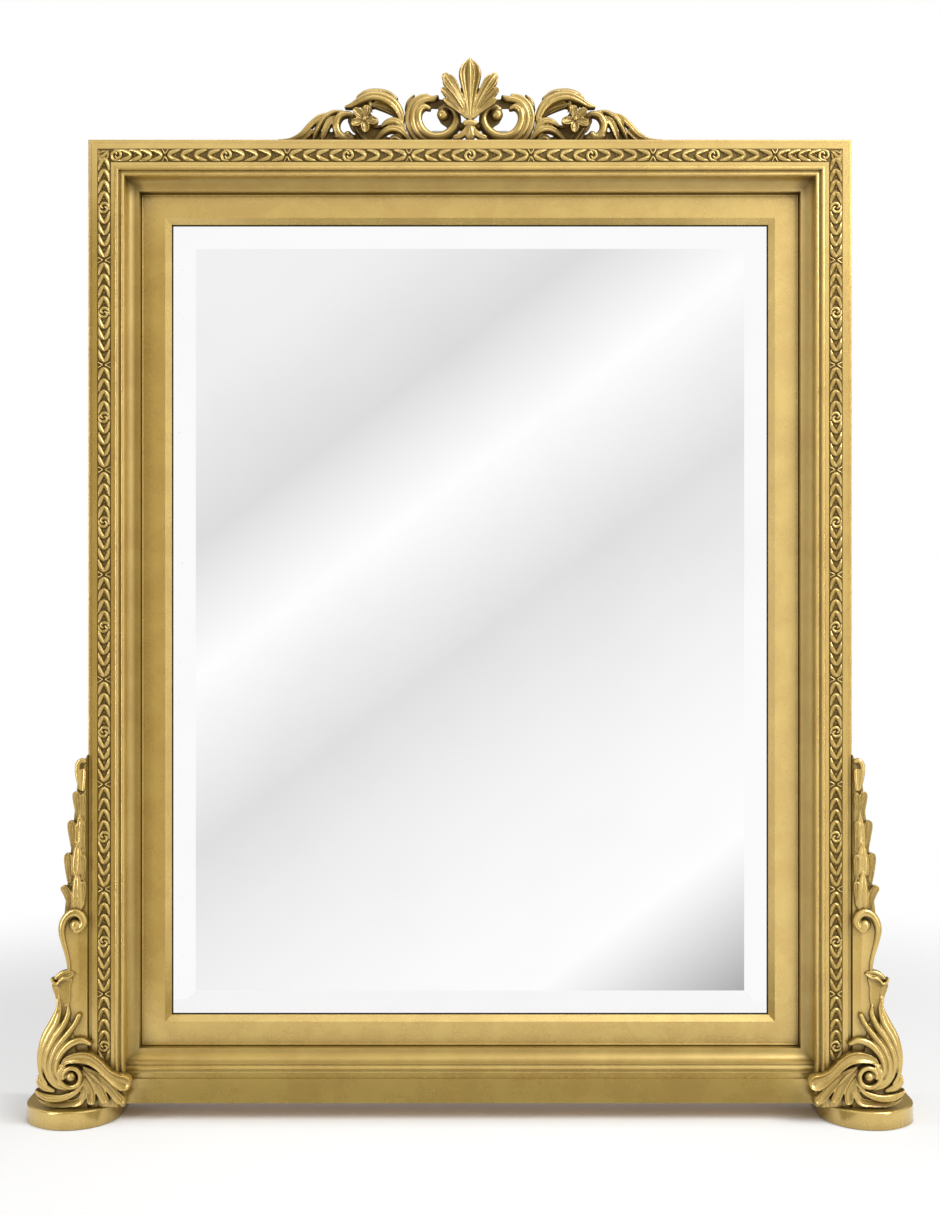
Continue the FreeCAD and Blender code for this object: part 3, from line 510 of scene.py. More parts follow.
def carve(name, strokes, bosses, origin, look, replaced):
    shape = bmesh.new()
    for kind, slope, points in strokes:
        addStroke(shape, kind, slope, points, carveLook["acrossSteps"], carveLook["spacing"], True)
    for boss in bosses:
        addBoss(shape, *boss)
    bmesh.ops.recalc_face_normals(shape, faces=shape.faces)
    mesh = meshFrom(shape, name)
    upright(mesh, origin)
    piece = finishPiece(name, mesh, [look], replaced)
    selectOnly(piece)
    remesh = piece.modifiers.new("carved", "REMESH")
    remesh.mode = "VOXEL"
    remesh.voxel_size = carveLook["voxel"]
    bpy.ops.object.modifier_apply(modifier=remesh.name)
    soften = piece.modifiers.new("softened", "SMOOTH")
    soften.factor = carveLook["softness"]
    soften.iterations = carveLook["smoothing"]
    bpy.ops.object.modifier_apply(modifier=soften.name)
    bpy.ops.object.shade_smooth()
    piece.data.materials.clear()
    piece.data.materials.append(look)
    if look in (gilt["carved"], gilt["crest"]):
        markRecess(piece.data, origin[1])
    print("carved", name, len(piece.data.polygons), "faces")
    return piece


def mirrored(piece, name, replaced):
    mesh = piece.data.copy()
    mesh.transform(Matrix.Diagonal((-1, 1, 1, 1)))
    mesh.flip_normals()
    return finishPiece(name, mesh, list(mesh.materials), replaced)


def mirroredAcross(points):
    return [(-x, *rest) for x, *rest in points]


def flipped(strokes):
    return [(kind, slope, mirroredAcross(points)) for kind, slope, points in strokes]


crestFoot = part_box("crest_palmette")[0].z
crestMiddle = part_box("crest_palmette")[1].y
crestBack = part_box("crest_scroll_right")[1].y
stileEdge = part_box("side_console_right")[0].x
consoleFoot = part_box("side_console_right")[0].z
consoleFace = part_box("side_console_right")[0].y


# Palmette: a fluted middle lobe between side lobes, tied by a collar over a skirt of three leaves

palmetteMiddle = [
    ("round", 0.05, [(0, 34, 5, 4), (0, 50, 12, 4), (0, 64, 18, 4)]),
    ("flute", 0.46, [(0, 30, 2.2, 8), (0, 45, 4.8, 9.5), (0, 62, 8.2, 10.5), (0, 80, 13.0, 11.5),
                     (0, 94, 15.8, 12), (0, 104, 13.4, 11.4), (0, 110.5, 8.4, 10), (0, 114, 3.6, 8.6)]),
    ("round", 0.8, [(-6.4, 25, 4.0, 11.4), (0, 25.6, 4.6, 12), (6.4, 25, 4.0, 11.4)]),
    ("vein", 0.6, [(0, 23, 2.4, 9.5), (0, 14, 4.8, 10.5), (0, 8, 6.8, 10.5), (0, 6.8, 6.8, 10)]),
]
palmetteSide = [
    ("flute", 0.50, [(2.5, 34, 1.8, 7), (9, 50, 3.8, 8.5), (17, 65.5, 6.2, 9.8), (25.5, 79, 8.8, 10.8),
                     (31.2, 87, 8.6, 10.4), (34.4, 91.2, 5.6, 9)]),
    ("scoop", 0.7, [(3, 33, 1.6, 6), (13, 47, 3.2, 7.5), (24, 60, 4.8, 8.8), (32.5, 68.4, 5.4, 9.4),
                    (37.6, 72.6, 3.6, 9)]),
    ("scoop", 0.7, [(3, 32, 1.5, 5.5), (13, 42, 2.8, 7), (24, 50.6, 3.9, 7.8), (32, 56.6, 3.8, 8.2),
                    (36.2, 59.6, 2.0, 7.6)]),
    ("vein", 0.6, [(3, 23, 1.6, 8), (7, 14, 3.6, 9.4), (13.5, 7.4, 4.6, 9.4), (20, 5, 4.4, 9)]),
]
carve("palmette", palmetteMiddle + palmetteSide + flipped(palmetteSide), [],
      (0, crestMiddle, crestFoot), gilt["crest"], "crest_palmette")


# Crest scroll: a lyre-shaped band of three reeds round an opening, with a ball in its curled end

scrollStrokes = [
    ("round", 0.9, [(43, 50, 2.4, 13), (34, 53.4, 3.8, 15), (23.5, 49, 5.0, 16), (18.6, 38, 5.8, 16.5),
                    (21.4, 25, 6.8, 17), (32, 13.6, 7.2, 17.5), (46.5, 9.6, 7.0, 17.5),
                    (60, 13, 6.4, 17.5), (69, 22.5, 5.8, 17.5), (73, 35, 5.2, 17),
                    (71.6, 46.6, 4.8, 16), (64.6, 53, 4.0, 15), (57.6, 51, 2.6, 13.5)]),
    ("round", 0.9, [(46, 6, 2.2, 13), (63, 6.5, 3.2, 14), (75.4, 16, 3.8, 15), (81.4, 30, 4.0, 15.5),
                    (80.8, 45, 4.0, 15), (74, 57.2, 4.4, 14.5), (62, 63.4, 4.8, 14),
                    (52, 64.6, 4.4, 13.5), (46.6, 67.4, 2.6, 12.5)]),
    ("round", 0.9, [(56, 3.4, 2.4, 10), (74.4, 5.2, 3.0, 11), (85, 19, 3.2, 12), (89, 34, 3.4, 12.5),
                    (88, 47, 3.4, 12.5), (82, 59.4, 3.4, 12), (71.6, 67.2, 3.0, 12),
                    (60, 70, 2.2, 11.5)]),
    ("keel", 1.0, [(91, 50, 2.0, 8), (88.4, 60, 2.4, 9), (83, 67, 2.0, 9), (79, 71, 0.8, 8.5)]),
    ("round", 0.05, [(38, 60, 6.0, 4), (48, 59, 6.5, 4), (58, 58, 5.0, 4)]),
    ("round", 0.05, [(28, 33, 9.0, 4), (33, 40, 11.5, 4), (37, 47, 8.0, 4)]),
    ("round", 0.6, [(4, 3.2, 3.0, 9), (30, 3.2, 3.0, 9), (60, 3.2, 3.0, 9), (90, 3.2, 3.0, 9)]),
    ("round", 0.8, [(5, 25, 4.0, 12), (13, 26, 5.0, 13), (20, 28, 5.0, 13)]),
]
scrollRight = carve("crestScrollRight", scrollStrokes, [(38.2, 42, 8.8, 18)], (0, crestBack, crestFoot),
                    gilt["crest"], "crest_scroll_right")
mirrored(scrollRight, "crestScrollLeft", "crest_scroll_left")


# Crest wing: an acanthus leaf over an opening, two lower leaves, a curled ring and a long outer leaf

wingStrokes = [
    ("vein", 0.75, [(96.5, 31, 3.6, 12), (98.6, 42, 5.6, 14), (107.4, 56.6, 7.2, 16),
                    (123.6, 66, 7.2, 17.5), (141, 67.4, 6.6, 17.5), (155, 61.6, 5.6, 16.5),
                    (167, 54.8, 4.0, 15), (176.4, 52.8, 1.8, 13)]),
    ("keel", 0.9, [(104, 66, 2.0, 10), (117, 74, 3.6, 11), (133, 76.2, 4.0, 12), (147, 74.4, 3.8, 12),
                   (157, 69.4, 2.6, 11), (161, 66, 1.0, 10)]),
    ("scoop", 0.9, [(99, 34, 2.8, 8), (107, 44.6, 4.0, 10), (119, 51.6, 5.0, 11.5),
                    (131, 55.4, 4.4, 12), (140, 56.4, 2.0, 11.5)]),
    ("keel", 0.9, [(141, 63, 2.2, 12), (142.5, 57, 2.6, 12), (141, 51, 1.4, 11), (139, 47.5, 0.5, 10)]),
    ("vein", 0.7, [(93, 21, 3.0, 12), (99, 29, 4.6, 14.5), (108, 33, 4.6, 15.5), (118, 30.5, 3.8, 15),
                   (126, 25, 1.6, 13.5)]),
    ("vein", 0.7, [(84, 4, 2.6, 11), (92, 13.5, 4.2, 13.5), (102, 20.5, 5.0, 15),
                   (113, 21.5, 5.0, 15.5), (123, 16.5, 4.4, 15), (131.5, 8.5, 3.4, 13.5),
                   (136, 4, 1.4, 12)]),
    ("scoop", 0.7, [(96, 6, 2.4, 10), (104, 11, 3.2, 12), (110.5, 9.5, 2.8, 12),
                    (112.5, 5.6, 1.4, 11)]),
    ("round", 0.9, [(165, 40, 2.8, 12), (173.5, 43, 4.2, 14), (183.5, 40, 5.0, 15.5),
                    (189.5, 30, 5.6, 16.5), (188, 18, 5.8, 16.5), (180.5, 10, 5.4, 16),
                    (172, 9.6, 4.4, 15)]),
    ("keel", 0.9, [(181, 47, 1.8, 11), (194, 45.5, 3.4, 13), (205.5, 38, 4.2, 14.5),
                   (214, 26.5, 4.2, 14.5), (220, 14, 3.2, 13), (222.5, 6, 1.4, 11.5)]),
    ("scoop", 0.6, [(191, 38, 2.6, 13), (198.5, 32, 4.2, 15), (204.5, 21.5, 4.4, 15),
                    (208.5, 10.5, 3.4, 13.5), (210, 5, 1.6, 12)]),
    ("vein", 0.7, [(201, 44, 1.6, 11), (214, 38.5, 3.4, 13), (226.5, 27, 4.2, 14),
                   (238, 14.5, 4.2, 13.5), (251, 7.6, 3.2, 12), (263, 6.2, 2.0, 10.5),
                   (272, 7.2, 0.7, 9.5)]),
    ("scoop", 0.7, [(224, 19, 2.2, 11), (232, 11, 3.0, 12), (240, 5.5, 2.6, 11.5),
                    (246, 3.4, 1.2, 10)]),
    ("round", 0.6, [(92, 2.6, 2.4, 8), (140, 2.6, 2.4, 8), (200, 2.6, 2.4, 8), (262, 2.6, 2.4, 8)]),
    ("round", 0.05, [(94, 6, 5.0, 4), (120, 6.5, 6.0, 4), (150, 7.5, 7.0, 4), (180, 9, 8.4, 4),
                     (212, 11, 9.6, 4), (235, 8, 6.8, 4), (255, 4.4, 3.8, 4), (268, 3, 2.4, 4)]),
    ("round", 0.05, [(105, 49, 6.0, 4), (120, 56, 7.0, 4), (136, 58, 6.0, 4), (150, 53, 5.0, 4)]),
    ("round", 0.05, [(130, 19, 6.0, 5), (146, 22, 9.0, 5), (160, 26, 9.0, 5), (168, 35, 6.0, 5)]),
    ("round", 0.05, [(144, 40, 6.0, 5), (156, 42, 6.0, 5), (167, 41, 4.0, 5)]),
    ("round", 0.9, [(169, 9, 6.4, 15), (178, 8.4, 7.0, 16.5), (187, 11.5, 6.2, 16)]),
    ("round", 0.8, [(150, 8, 3.0, 9), (158, 20, 3.4, 9), (165, 32, 3.4, 9), (168, 41, 3.0, 10)]),
    ("round", 0.8, [(122, 26, 2.4, 9), (134, 26, 2.8, 9), (150, 32, 3.0, 9)]),
]
wingRight = carve("crestWingRight", wingStrokes, [(173, 12.5, 5.8, 17.2)], (0, crestBack, crestFoot),
                  gilt["crest"], "crest_wing_right")
mirrored(wingRight, "crestWingLeft", "crest_wing_left")


# Flower: five hollowed petals round a button

flowerLook = {"centre": (148.5, 31.5), "tips": ((144.5, 50), (164, 45.5), (167, 23), (147, 12), (129, 27)),
              "petal": ((0.10, 2.4, 7.4), (0.36, 4.8, 9.2), (0.60, 6.4, 11.2), (0.74, 5.2, 11.8))}
flowerStrokes = []
heart = Vector(flowerLook["centre"])
for tip in flowerLook["tips"]:
    run = Vector(tip) - heart
    petal = [(*(heart + run * share), width, height) for share, width, height in flowerLook["petal"]]
    flowerStrokes.append(("scoop", 0.75, petal))
flowerRight = carve("crestFlowerRight", flowerStrokes, [(*flowerLook["centre"], 3.8, 11.2)],
                    (0, crestMiddle, crestFoot), gilt["crest"], "crest_flower_right")
mirrored(flowerRight, "crestFlowerLeft", "crest_flower_left")


# Husk chain: a curled top over four husks, each an outer leaf, an inner leaf and a middle bud

huskStrokes = [
    ("round", 0.7, [(2.6, 485.6, 2.8, 7.4), (7.0, 486.6, 3.4, 8.6), (11.4, 482, 3.5, 8.8),
                    (12.6, 473, 3.3, 8.4), (11.6, 461, 2.8, 7.4), (9.4, 448, 2.0, 6)]),
    ("scoop", 0.40, [(5.0, 471, 4.6, 6.4), (5.6, 462, 5.0, 6.6), (6.4, 448, 4.4, 6)]),
    ("round", 0.08, [(13, 287, 11, 3.0), (12.5, 320, 11, 3.0), (10.5, 362, 9.4, 3.0),
                     (7.4, 408, 6.4, 3.0), (6.4, 448, 5.6, 3.0), (6, 480, 5, 3.0)]),
    ("vein", 0.5, [(13.4, 280, 8.0, 6), (13.2, 302, 8.2, 7.6), (12.8, 319, 5.6, 8),
                   (12.6, 331, 1.2, 7.4)]),
    ("vein", 0.5, [(14.0, 328, 6.6, 5.6), (13.0, 350, 7.6, 7.4), (12.2, 362, 5.4, 7.8),
                   (11.8, 371, 1.0, 7.2)]),
    ("vein", 0.5, [(12.0, 366, 4.4, 5), (10.6, 390, 5.4, 6.4), (9.4, 403, 3.6, 6.8),
                   (8.8, 411, 0.8, 6.4)]),
]
outerLeaves = (
    ((23.4, 281), (25.0, 293), (27.6, 303), (30.4, 307.4)),
    ((24.4, 318), (25.0, 333), (25.3, 346), (25.4, 352.6)),
    ((19.2, 365), (19.8, 380), (20.4, 392), (20.8, 398)),
    ((12.4, 410), (12.8, 423), (13.4, 434), (13.8, 438.6)),
)
innerLeaves = (
    ((6.2, 284), (5.6, 298), (4.2, 310), (3.4, 315)),
    ((4.4, 322), (4.6, 338), (4.0, 348), (3.6, 352)),
    ((5.0, 362), (5.6, 380), (5.2, 394), (4.6, 399)),
    ((6.8, 412), (5.4, 425), (4.4, 434), (4.0, 438)),
)
outerShape = ((3.0, 4.6), (4.8, 6.2), (5.8, 7.8), (5.4, 8.6))
innerShape = ((2.4, 4.4), (4.0, 6.0), (4.2, 7.0), (3.0, 7.4))
for leaves, form in ((outerLeaves, outerShape), (innerLeaves, innerShape)):
    for leaf in leaves:
        huskStrokes.append(("scoop", 0.8, [(*spot, *size) for spot, size in zip(leaf, form)]))
consoleOrigin = Vector((stileEdge, consoleFace, consoleFoot))
huskRight = carve("huskChainRight", huskStrokes, [], consoleOrigin, gilt["carved"], "husk_chain_right")
mirrored(huskRight, "huskChainLeft", "husk_chain_left")


# Small volute: the neck rises along the outer edge and curls over a ball

voluteStrokes = [
    ("round", 0.7, [(25.5, 187, 2.6, 5), (24.6, 198, 2.8, 5.5), (27, 213, 3.0, 6.5),
                    (31.5, 231, 3.6, 8), (34, 246, 4.4, 9.5), (32.5, 259, 5.2, 10.5),
                    (26, 270, 5.4, 11), (16, 274.6, 5.4, 11.2), (7, 270.5, 5.2, 11.2),
                    (3.4, 261.5, 5.0, 11), (6.8, 253.4, 4.8, 11), (14, 250, 4.6, 11)]),
]
voluteRight = carve("voluteRight", voluteStrokes, [(15.2, 256.6, 9.4, 12)], consoleOrigin,
                    gilt["carved"], "side_volute_right")
mirrored(voluteRight, "voluteLeft", "side_volute_left")


# Foot scroll: reeds sweep down the outer edge and round the eye, with a broad leaf over the stile

footStrokes = [
    ("round", 0.05, [(27, 182, 8.0, 9.4), (31, 170, 9.0, 9.4), (30, 158, 8.0, 9.4),
                     (30, 148, 7.0, 9.4)]),
    ("round", 0.8, [(19.5, 190, 2.0, 9), (28, 190.4, 3.2, 10), (36, 187.4, 3.8, 11),
                    (42, 182.6, 3.0, 11.6)]),
    ("round", 0.9, [(16.6, 188.6, 1.3, 12.6), (23.6, 183.8, 1.9, 14.6), (30, 183.6, 2.1, 15.2),
                    (35.6, 180.4, 2.1, 15.2), (40, 175.4, 2.1, 14.8), (45, 176.8, 2.2, 14.4),
                    (48.4, 182, 1.3, 13.6)]),
    ("scoop", 0.6, [(44.0, 173.6, 4.0, 13), (41.6, 166, 4.4, 11.8), (39.6, 158, 3.6, 11.6),
                    (39, 149, 2.4, 12.4)]),
    ("vein", 0.42, [(39.4, 155, 1.4, 13), (37.6, 141, 4.2, 15), (44.2, 121, 7.2, 16.5),
                    (55.4, 101, 6.6, 17.2), (62, 81, 4.8, 17.2), (63.6, 64, 3.6, 16.6),
                    (61.6, 48, 2.8, 15.5), (55, 36, 2.0, 14)]),
    ("round", 0.9, [(25.6, 143, 2.0, 12), (25.6, 131, 4.0, 14), (33, 115, 4.9, 15.5),
                    (45, 97.5, 5.0, 16.6), (53.8, 78, 4.6, 17), (55.6, 61, 4.1, 17),
                    (51.6, 45, 3.5, 16), (41.5, 33, 2.8, 15), (27, 27.6, 1.6, 13.5)]),
    ("round", 0.9, [(10.4, 130.4, 3.4, 12.6), (16, 118.6, 4.0, 13.6), (26.6, 104, 4.8, 15.2),
                    (39.2, 88, 4.7, 16.6), (47.4, 69.6, 4.1, 17.2), (48.2, 53, 3.7, 17.2),
                    (42.4, 40, 3.0, 16.5), (31, 32.6, 1.8, 15)]),
    ("round", 0.9, [(-5.6, 90.4, 2.2, 12.6), (6, 95.4, 4.6, 14.4), (19.6, 92.4, 5.6, 16),
                    (31.6, 82.4, 5.2, 17.2), (39.4, 68, 4.2, 17.8), (40.8, 53, 3.5, 17.4),
                    (35.6, 42, 2.6, 16.5)]),
    ("scoop", 0.66, [(33, 61, 2.8, 15.6), (26, 69, 5.0, 17), (11.7, 73, 7.2, 18.2),
                     (-2.6, 72.2, 8.0, 18.2), (-16.4, 64, 7.0, 17.6), (-30.4, 50, 6.4, 16.6),
                     (-43, 41, 9.0, 16.6), (-52, 37.6, 11.4, 18.2)]),
    ("scoop", 0.7, [(3, 58, 2.0, 12), (-14, 47, 5.6, 13.6), (-31, 32.6, 6.6, 13.8),
                    (-43.6, 17.6, 6.8, 14), (-49, 12.6, 6.0, 14.8)]),
    ("scoop", 0.7, [(4, 53, 2.0, 11.6), (-8, 44.6, 5.0, 13), (-18, 29.6, 6.6, 13.2),
                    (-25.6, 14, 6.6, 14)]),
    ("scoop", 0.7, [(5.3, 48, 2.0, 11.6), (0.4, 40, 5.0, 13), (-6.6, 24.6, 6.2, 13.2),
                    (-7.2, 12, 6.0, 13.8)]),
    ("scoop", 0.5, [(7, 42, 2.4, 11.4), (3.4, 24, 4.2, 12.2), (9.6, 10.6, 5.6, 12), (26, 7, 5.0, 11),
                    (44, 5.6, 3.8, 10.6), (58, 8, 2.4, 10.4), (67, 13.6, 1.2, 10)]),
    ("vein", 0.5, [(46, 26, 3.0, 12.4), (57, 30.6, 5.6, 14), (64.4, 38, 5.2, 14), (66, 45, 2.4, 12.6)]),
    ("vein", 0.6, [(4, 36.4, 1.8, 13), (15, 23.6, 3.6, 14.6), (34, 16, 5.2, 15.8),
                   (53, 16.4, 5.4, 15.8), (65, 21.4, 3.4, 14.8), (70.4, 26, 1.4, 13.4)]),
]
# the eye: a coil that winds in and rises towards its ball
eyeLook = {"centre": (20.4, 46.6), "start": 17.4, "end": 10.2, "turns": 1.16, "steps": 12, "from": 0.9,
           "width": 3.5, "thinned": 0.3, "height": 17, "raised": 2.0, "ball": (7.0, 20)}
eyeAcross, eyeUp = eyeLook["centre"]
eyeLine = []
for step in range(eyeLook["steps"] + 1):
    share = step / eyeLook["steps"]
    angle = eyeLook["from"] - share * eyeLook["turns"] * 2 * math.pi
    radius = eyeLook["start"] + (eyeLook["end"] - eyeLook["start"]) * share
    eyeLine.append((eyeAcross + radius * math.cos(angle), eyeUp + radius * math.sin(angle),
                    eyeLook["width"] - share * eyeLook["thinned"],
                    eyeLook["height"] + share * eyeLook["raised"]))
footStrokes.append(("round", 0.9, eyeLine))
bedLine = [(6, 20, 8, 8), (30, 22, 18, 8), (36, 60, 22, 8), (34, 90, 18, 9.4), (32, 120, 10, 9.4),
           (34, 150, 3.5, 9.4)]
footStrokes.append(("round", 0.05, bedLine))
footSink = 0.004
footBack = Vector((stileEdge, consoleFace + footSink, consoleFoot))
footRight = carve("footScrollRight", footStrokes, [(eyeAcross, eyeUp, *eyeLook["ball"])], footBack,
                  gilt["carved"], "foot_scroll_right")
mirrored(footRight, "footScrollLeft", "foot_scroll_left")


# Hollow face of the side console, between the stile and its outer edge

hollowLine = [(16, 262, 14.0, 5.2), (17, 236, 15.0, 5.6), (15, 214, 14.0, 5.2), (13.8, 190, 13.4, 5.0),
              (14.4, 165, 14.0, 5.2), (15.6, 130, 15.2, 5.6), (15.6, 92, 15.2, 5.6)]
hollowSink = 0.0012
hollowRight = carve("consoleHollowRight", [("flare", 0.34, hollowLine)], [],
                    (stileEdge, consoleFace + hollowSink, consoleFoot), gilt["up"], None)
mirrored(hollowRight, "consoleHollowLeft", None)
print("carvings: done")


# Laurel bands: leaf pairs point from each rosette to the next tie, on a thin strip in the moulding's bed,
# which is painted dark as the shade between the leaves

laurelLook = {
    "stripThick": 0.7, "pairs": 4, "rosetteRoom": 8.4, "tieRoom": 2.4, "topHalves": 6, "sideHalves": 17,
    "berry": 1.15, "berryUp": 2.2, "cornerRoom": 17.0, "cornerCut": 9.0, "leafBack": 2.6, "lowLeaf": 4.5,
    "bottomRosette": 25.2, "slope": 1.15, "crease": math.radians(50),
    "plain": (4, 99.0), "fine": (6, 2.5),
}
leafLine = [(-0.6, 0.4, 2.4, 4.3), (3.0, -2.6, 4.2, 4.8), (5.8, -9.5, 3.2, 4.4), (7.5, -16.4, 1.2, 2.8)]
swirlLine = [(-7.2, -2.6, 1.6, 2.8), (-5.6, 4.4, 2.6, 3.6), (1.4, 6.2, 2.6, 4.0), (4.6, 1.6, 2.2, 4.1),
             (1.8, -0.8, 1.6, 4.1)]
cornerMiddle = [(0, 9.5, 0.8, 3.0), (0, 4, 3.4, 4.2), (0, -3, 3.0, 4.2), (0, -9, 0.9, 3.0)]
cornerSide = [(6.6, 3.6, 0.8, 2.6), (5.2, -1.4, 2.2, 3.6), (1.8, -6.4, 1.2, 3.0)]
tieLine = [(-8.2, 3.8, 1.0, 2.6), (-3.0, 0.9, 1.3, 3.4), (-3.0, -0.9, 1.3, 3.4), (-8.2, -3.8, 1.0, 2.6)]


# Ornaments that repeat have few faces: a plain one only joins its points, a fine one is rounded
def plainOrnament(name, strokes, berries, fine=False):
    look = laurelLook
    shape = bmesh.new()
    for points in strokes:
        addStroke(shape, "round", look["slope"], points, *look["fine" if fine else "plain"], fine)
    for across, along in berries:
        ball = Matrix.Translation((across, along, look["berryUp"])) @ Matrix.Scale(look["berry"], 4)
        bmesh.ops.create_icosphere(shape, subdivisions=1, radius=1, matrix=ball)
    bmesh.ops.recalc_face_normals(shape, faces=shape.faces)
    return meshFrom(shape, name)


def turnedAbout(points):
    return [(-x, -y, *rest) for x, y, *rest in points]


leafPair = plainOrnament("leafPair", [leafLine, mirroredAcross(leafLine)], [(0, -9.0)])
rosette = plainOrnament("rosette", [swirlLine, turnedAbout(swirlLine)], [], True)
tie = plainOrnament("tie", [tieLine, mirroredAcross(tieLine)], [], True)
cornerLeaf = plainOrnament("cornerLeaf", [cornerMiddle, cornerSide, mirroredAcross(cornerSide)], [])


# One run between a rosette and a tie, both given as distances along the band
def addRun(places, rosetteAt, tieAt):
    look = laurelLook
    way = 1 if tieAt > rosetteAt else -1
    first = rosetteAt + way * look["rosetteRoom"]
    last = tieAt - way * look["tieRoom"]
    pitch = (last - first) / look["pairs"]
    for pair in range(1, look["pairs"] + 1):
        places.append((leafPair, first + pair * pitch - way * look["leafBack"], 0 if way > 0 else math.pi))


def makeBand(name, places, length, origin, turn, replaced):
    shape = bmesh.new()
    halfWidth = (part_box("laurel_right")[1].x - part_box("laurel_right")[0].x) * perMetre / 2
    start, end = length
    strip = [(-halfWidth, start), (halfWidth, start), (halfWidth, end), (-halfWidth, end)]
    if turn == quarter:
        strip = [(-halfWidth, start - halfWidth), (halfWidth, start + halfWidth),
                 (halfWidth, end - halfWidth), (-halfWidth, end + halfWidth)]
    base = shape.faces.new([shape.verts.new((across, along, 0)) for across, along in strip])
    raised = bmesh.ops.extrude_face_region(shape, geom=[base])["geom"]
    bmesh.ops.translate(shape, verts=[item for item in raised if isinstance(item, bmesh.types.BMVert)],
                        vec=(0, 0, laurelLook["stripThick"]))
    bmesh.ops.recalc_face_normals(shape, faces=shape.faces)
    for face in shape.faces:
        face.material_index = 1
    for ornament, along, spin in places:
        copy = ornament.copy()
        copy.transform(Matrix.Translation((0, along, 0)) @ Matrix.Rotation(spin, 4, "Z"))
        shape.from_mesh(copy)
        bpy.data.meshes.remove(copy)
    mesh = meshFrom(shape, name)
    upright(mesh, origin, turn)
    # the strip between the leaves takes the gilt painted nearly dark as shade
    piece = finishPiece(name, mesh, [gilt["carved"], gilt["shadeStrip"]], replaced)
    selectOnly(piece)
    bpy.ops.object.shade_smooth_by_angle(angle=laurelLook["crease"])
    return piece


bandLow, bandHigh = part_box("laurel_right")
bandX = (bandLow.x + bandHigh.x) / 2
bandBack = bandHigh.y
cornerZ = bandHigh.z - (bandHigh.x - bandLow.x) / 2
bottomRosette = laurelLook["bottomRosette"]
sideLength = (cornerZ - bandLow.z) * perMetre
half = (sideLength - bottomRosette) / laurelLook["sideHalves"]
sidePlaces = [(leafPair, laurelLook["lowLeaf"], math.pi)]
for index in range(laurelLook["sideHalves"]):
    start = bottomRosette + index * half
    if index % 2 == 0:
        sidePlaces.append((rosette, start, 0))
        addRun(sidePlaces, start, start + half)
    else:
        sidePlaces.append((tie, start, 0))
        addRun(sidePlaces, start + half, start)
laurelRight = makeBand("laurelRight", sidePlaces, (0, sideLength - laurelLook["cornerCut"]),
                       (bandX, bandBack, bandLow.z), 0, "laurel_right")
mirrored(laurelRight, "laurelLeft", "laurel_left")

topHalf = bandX * perMetre
half = topHalf / laurelLook["topHalves"]
topPlaces = [(rosette, 0, 0)]
for side in (1, -1):
    for index in range(laurelLook["topHalves"]):
        start = side * index * half
        end = start + side * half
        if index % 2 == 0:
            addRun(topPlaces, start, end)
            topPlaces.append((tie, end, 0))
        else:
            if index == laurelLook["topHalves"] - 1:
                end -= side * laurelLook["cornerRoom"]
            addRun(topPlaces, end, start)
            topPlaces.append((rosette, end, 0))
    topPlaces.append((cornerLeaf, side * topHalf, -side * quarter / 2 + (0 if side > 0 else math.pi)))
makeBand("laurelTop", topPlaces, (-topHalf, topHalf), (0, bandBack, cornerZ), quarter, "laurel_top")
print("laurel bands: done")


# Stage: floor that fades into the white, world, lamps, reflected cards and the camera

stageLook = {
    "cameraAway": 2.200, "laurelPlane": -0.040, "eyeHeight": 0.727, "lens": 46.55, "filmHeight": 36.0,
    "floorSize": 8.0, "floorFadeStart": 0.95, "floorFadeEnd": 1.9, "floorLift": 0.62, "railMiddle": 0.035,
    "floorPale": (0.95, 0.95, 0.95), "floorDull": (0.93, 0.93, 0.93), "floorGrain": (40.0, 3.0, 0.5),
    "shadeDeep": (0.03, 0.09), "shadeWide": (0.55, 0.75), "ambient": 0.27,
    "roomDark": 0.16, "roomBright": 1.0, "ground": 0.25, "warm": (1.0, 0.80, 0.48),
    "wallRise": (0.78, 0.97), "ceilingRise": (0.15, 0.85), "groundRise": (-0.70, 0.05),
}


# The floor is lifted towards white, but not in the strip of shade below the base rail
def makeFloor():
    look = stageLook
    bpy.ops.object.select_all(action="DESELECT")
    bpy.ops.mesh.primitive_plane_add(size=look["floorSize"], location=(0, 0, 0))
    floor = bpy.context.object
    floor.name = "floor"
    paint = Paint("pale_floor")
    spot = paint.place()
    away = paint.add("ShaderNodeVectorMath", {"operation": "LENGTH"}, "Value", {0: spot})
    grainy = paint.noise(spot, *look["floorGrain"])
    matt = paint.add("ShaderNodeBsdfDiffuse", {}, "BSDF",
                     {"Color": paint.blend(grainy, look["floorDull"], look["floorPale"])})
    lift = paint.add("ShaderNodeEmission", {}, "Emission", {"Color": (1, 1, 1), "Strength": 1.0})
    aside, behind, _ = paint.parts(paint.place(shift=(0, -look["railMiddle"], 0)))
    lifted = paint.step(behind.size(), *look["shadeDeep"])
    lifted = lifted.larger(paint.step(aside.size(), *look["shadeWide"]))
    diffuse = paint.mixShaders(lifted * look["floorLift"], matt, lift)
    clear = paint.add("ShaderNodeBsdfTransparent", {}, "BSDF", {})
    fade = paint.step(away, look["floorFadeStart"], look["floorFadeEnd"])
    floor.data.materials.append(paint.show(paint.mixShaders(fade, diffuse, clear)))


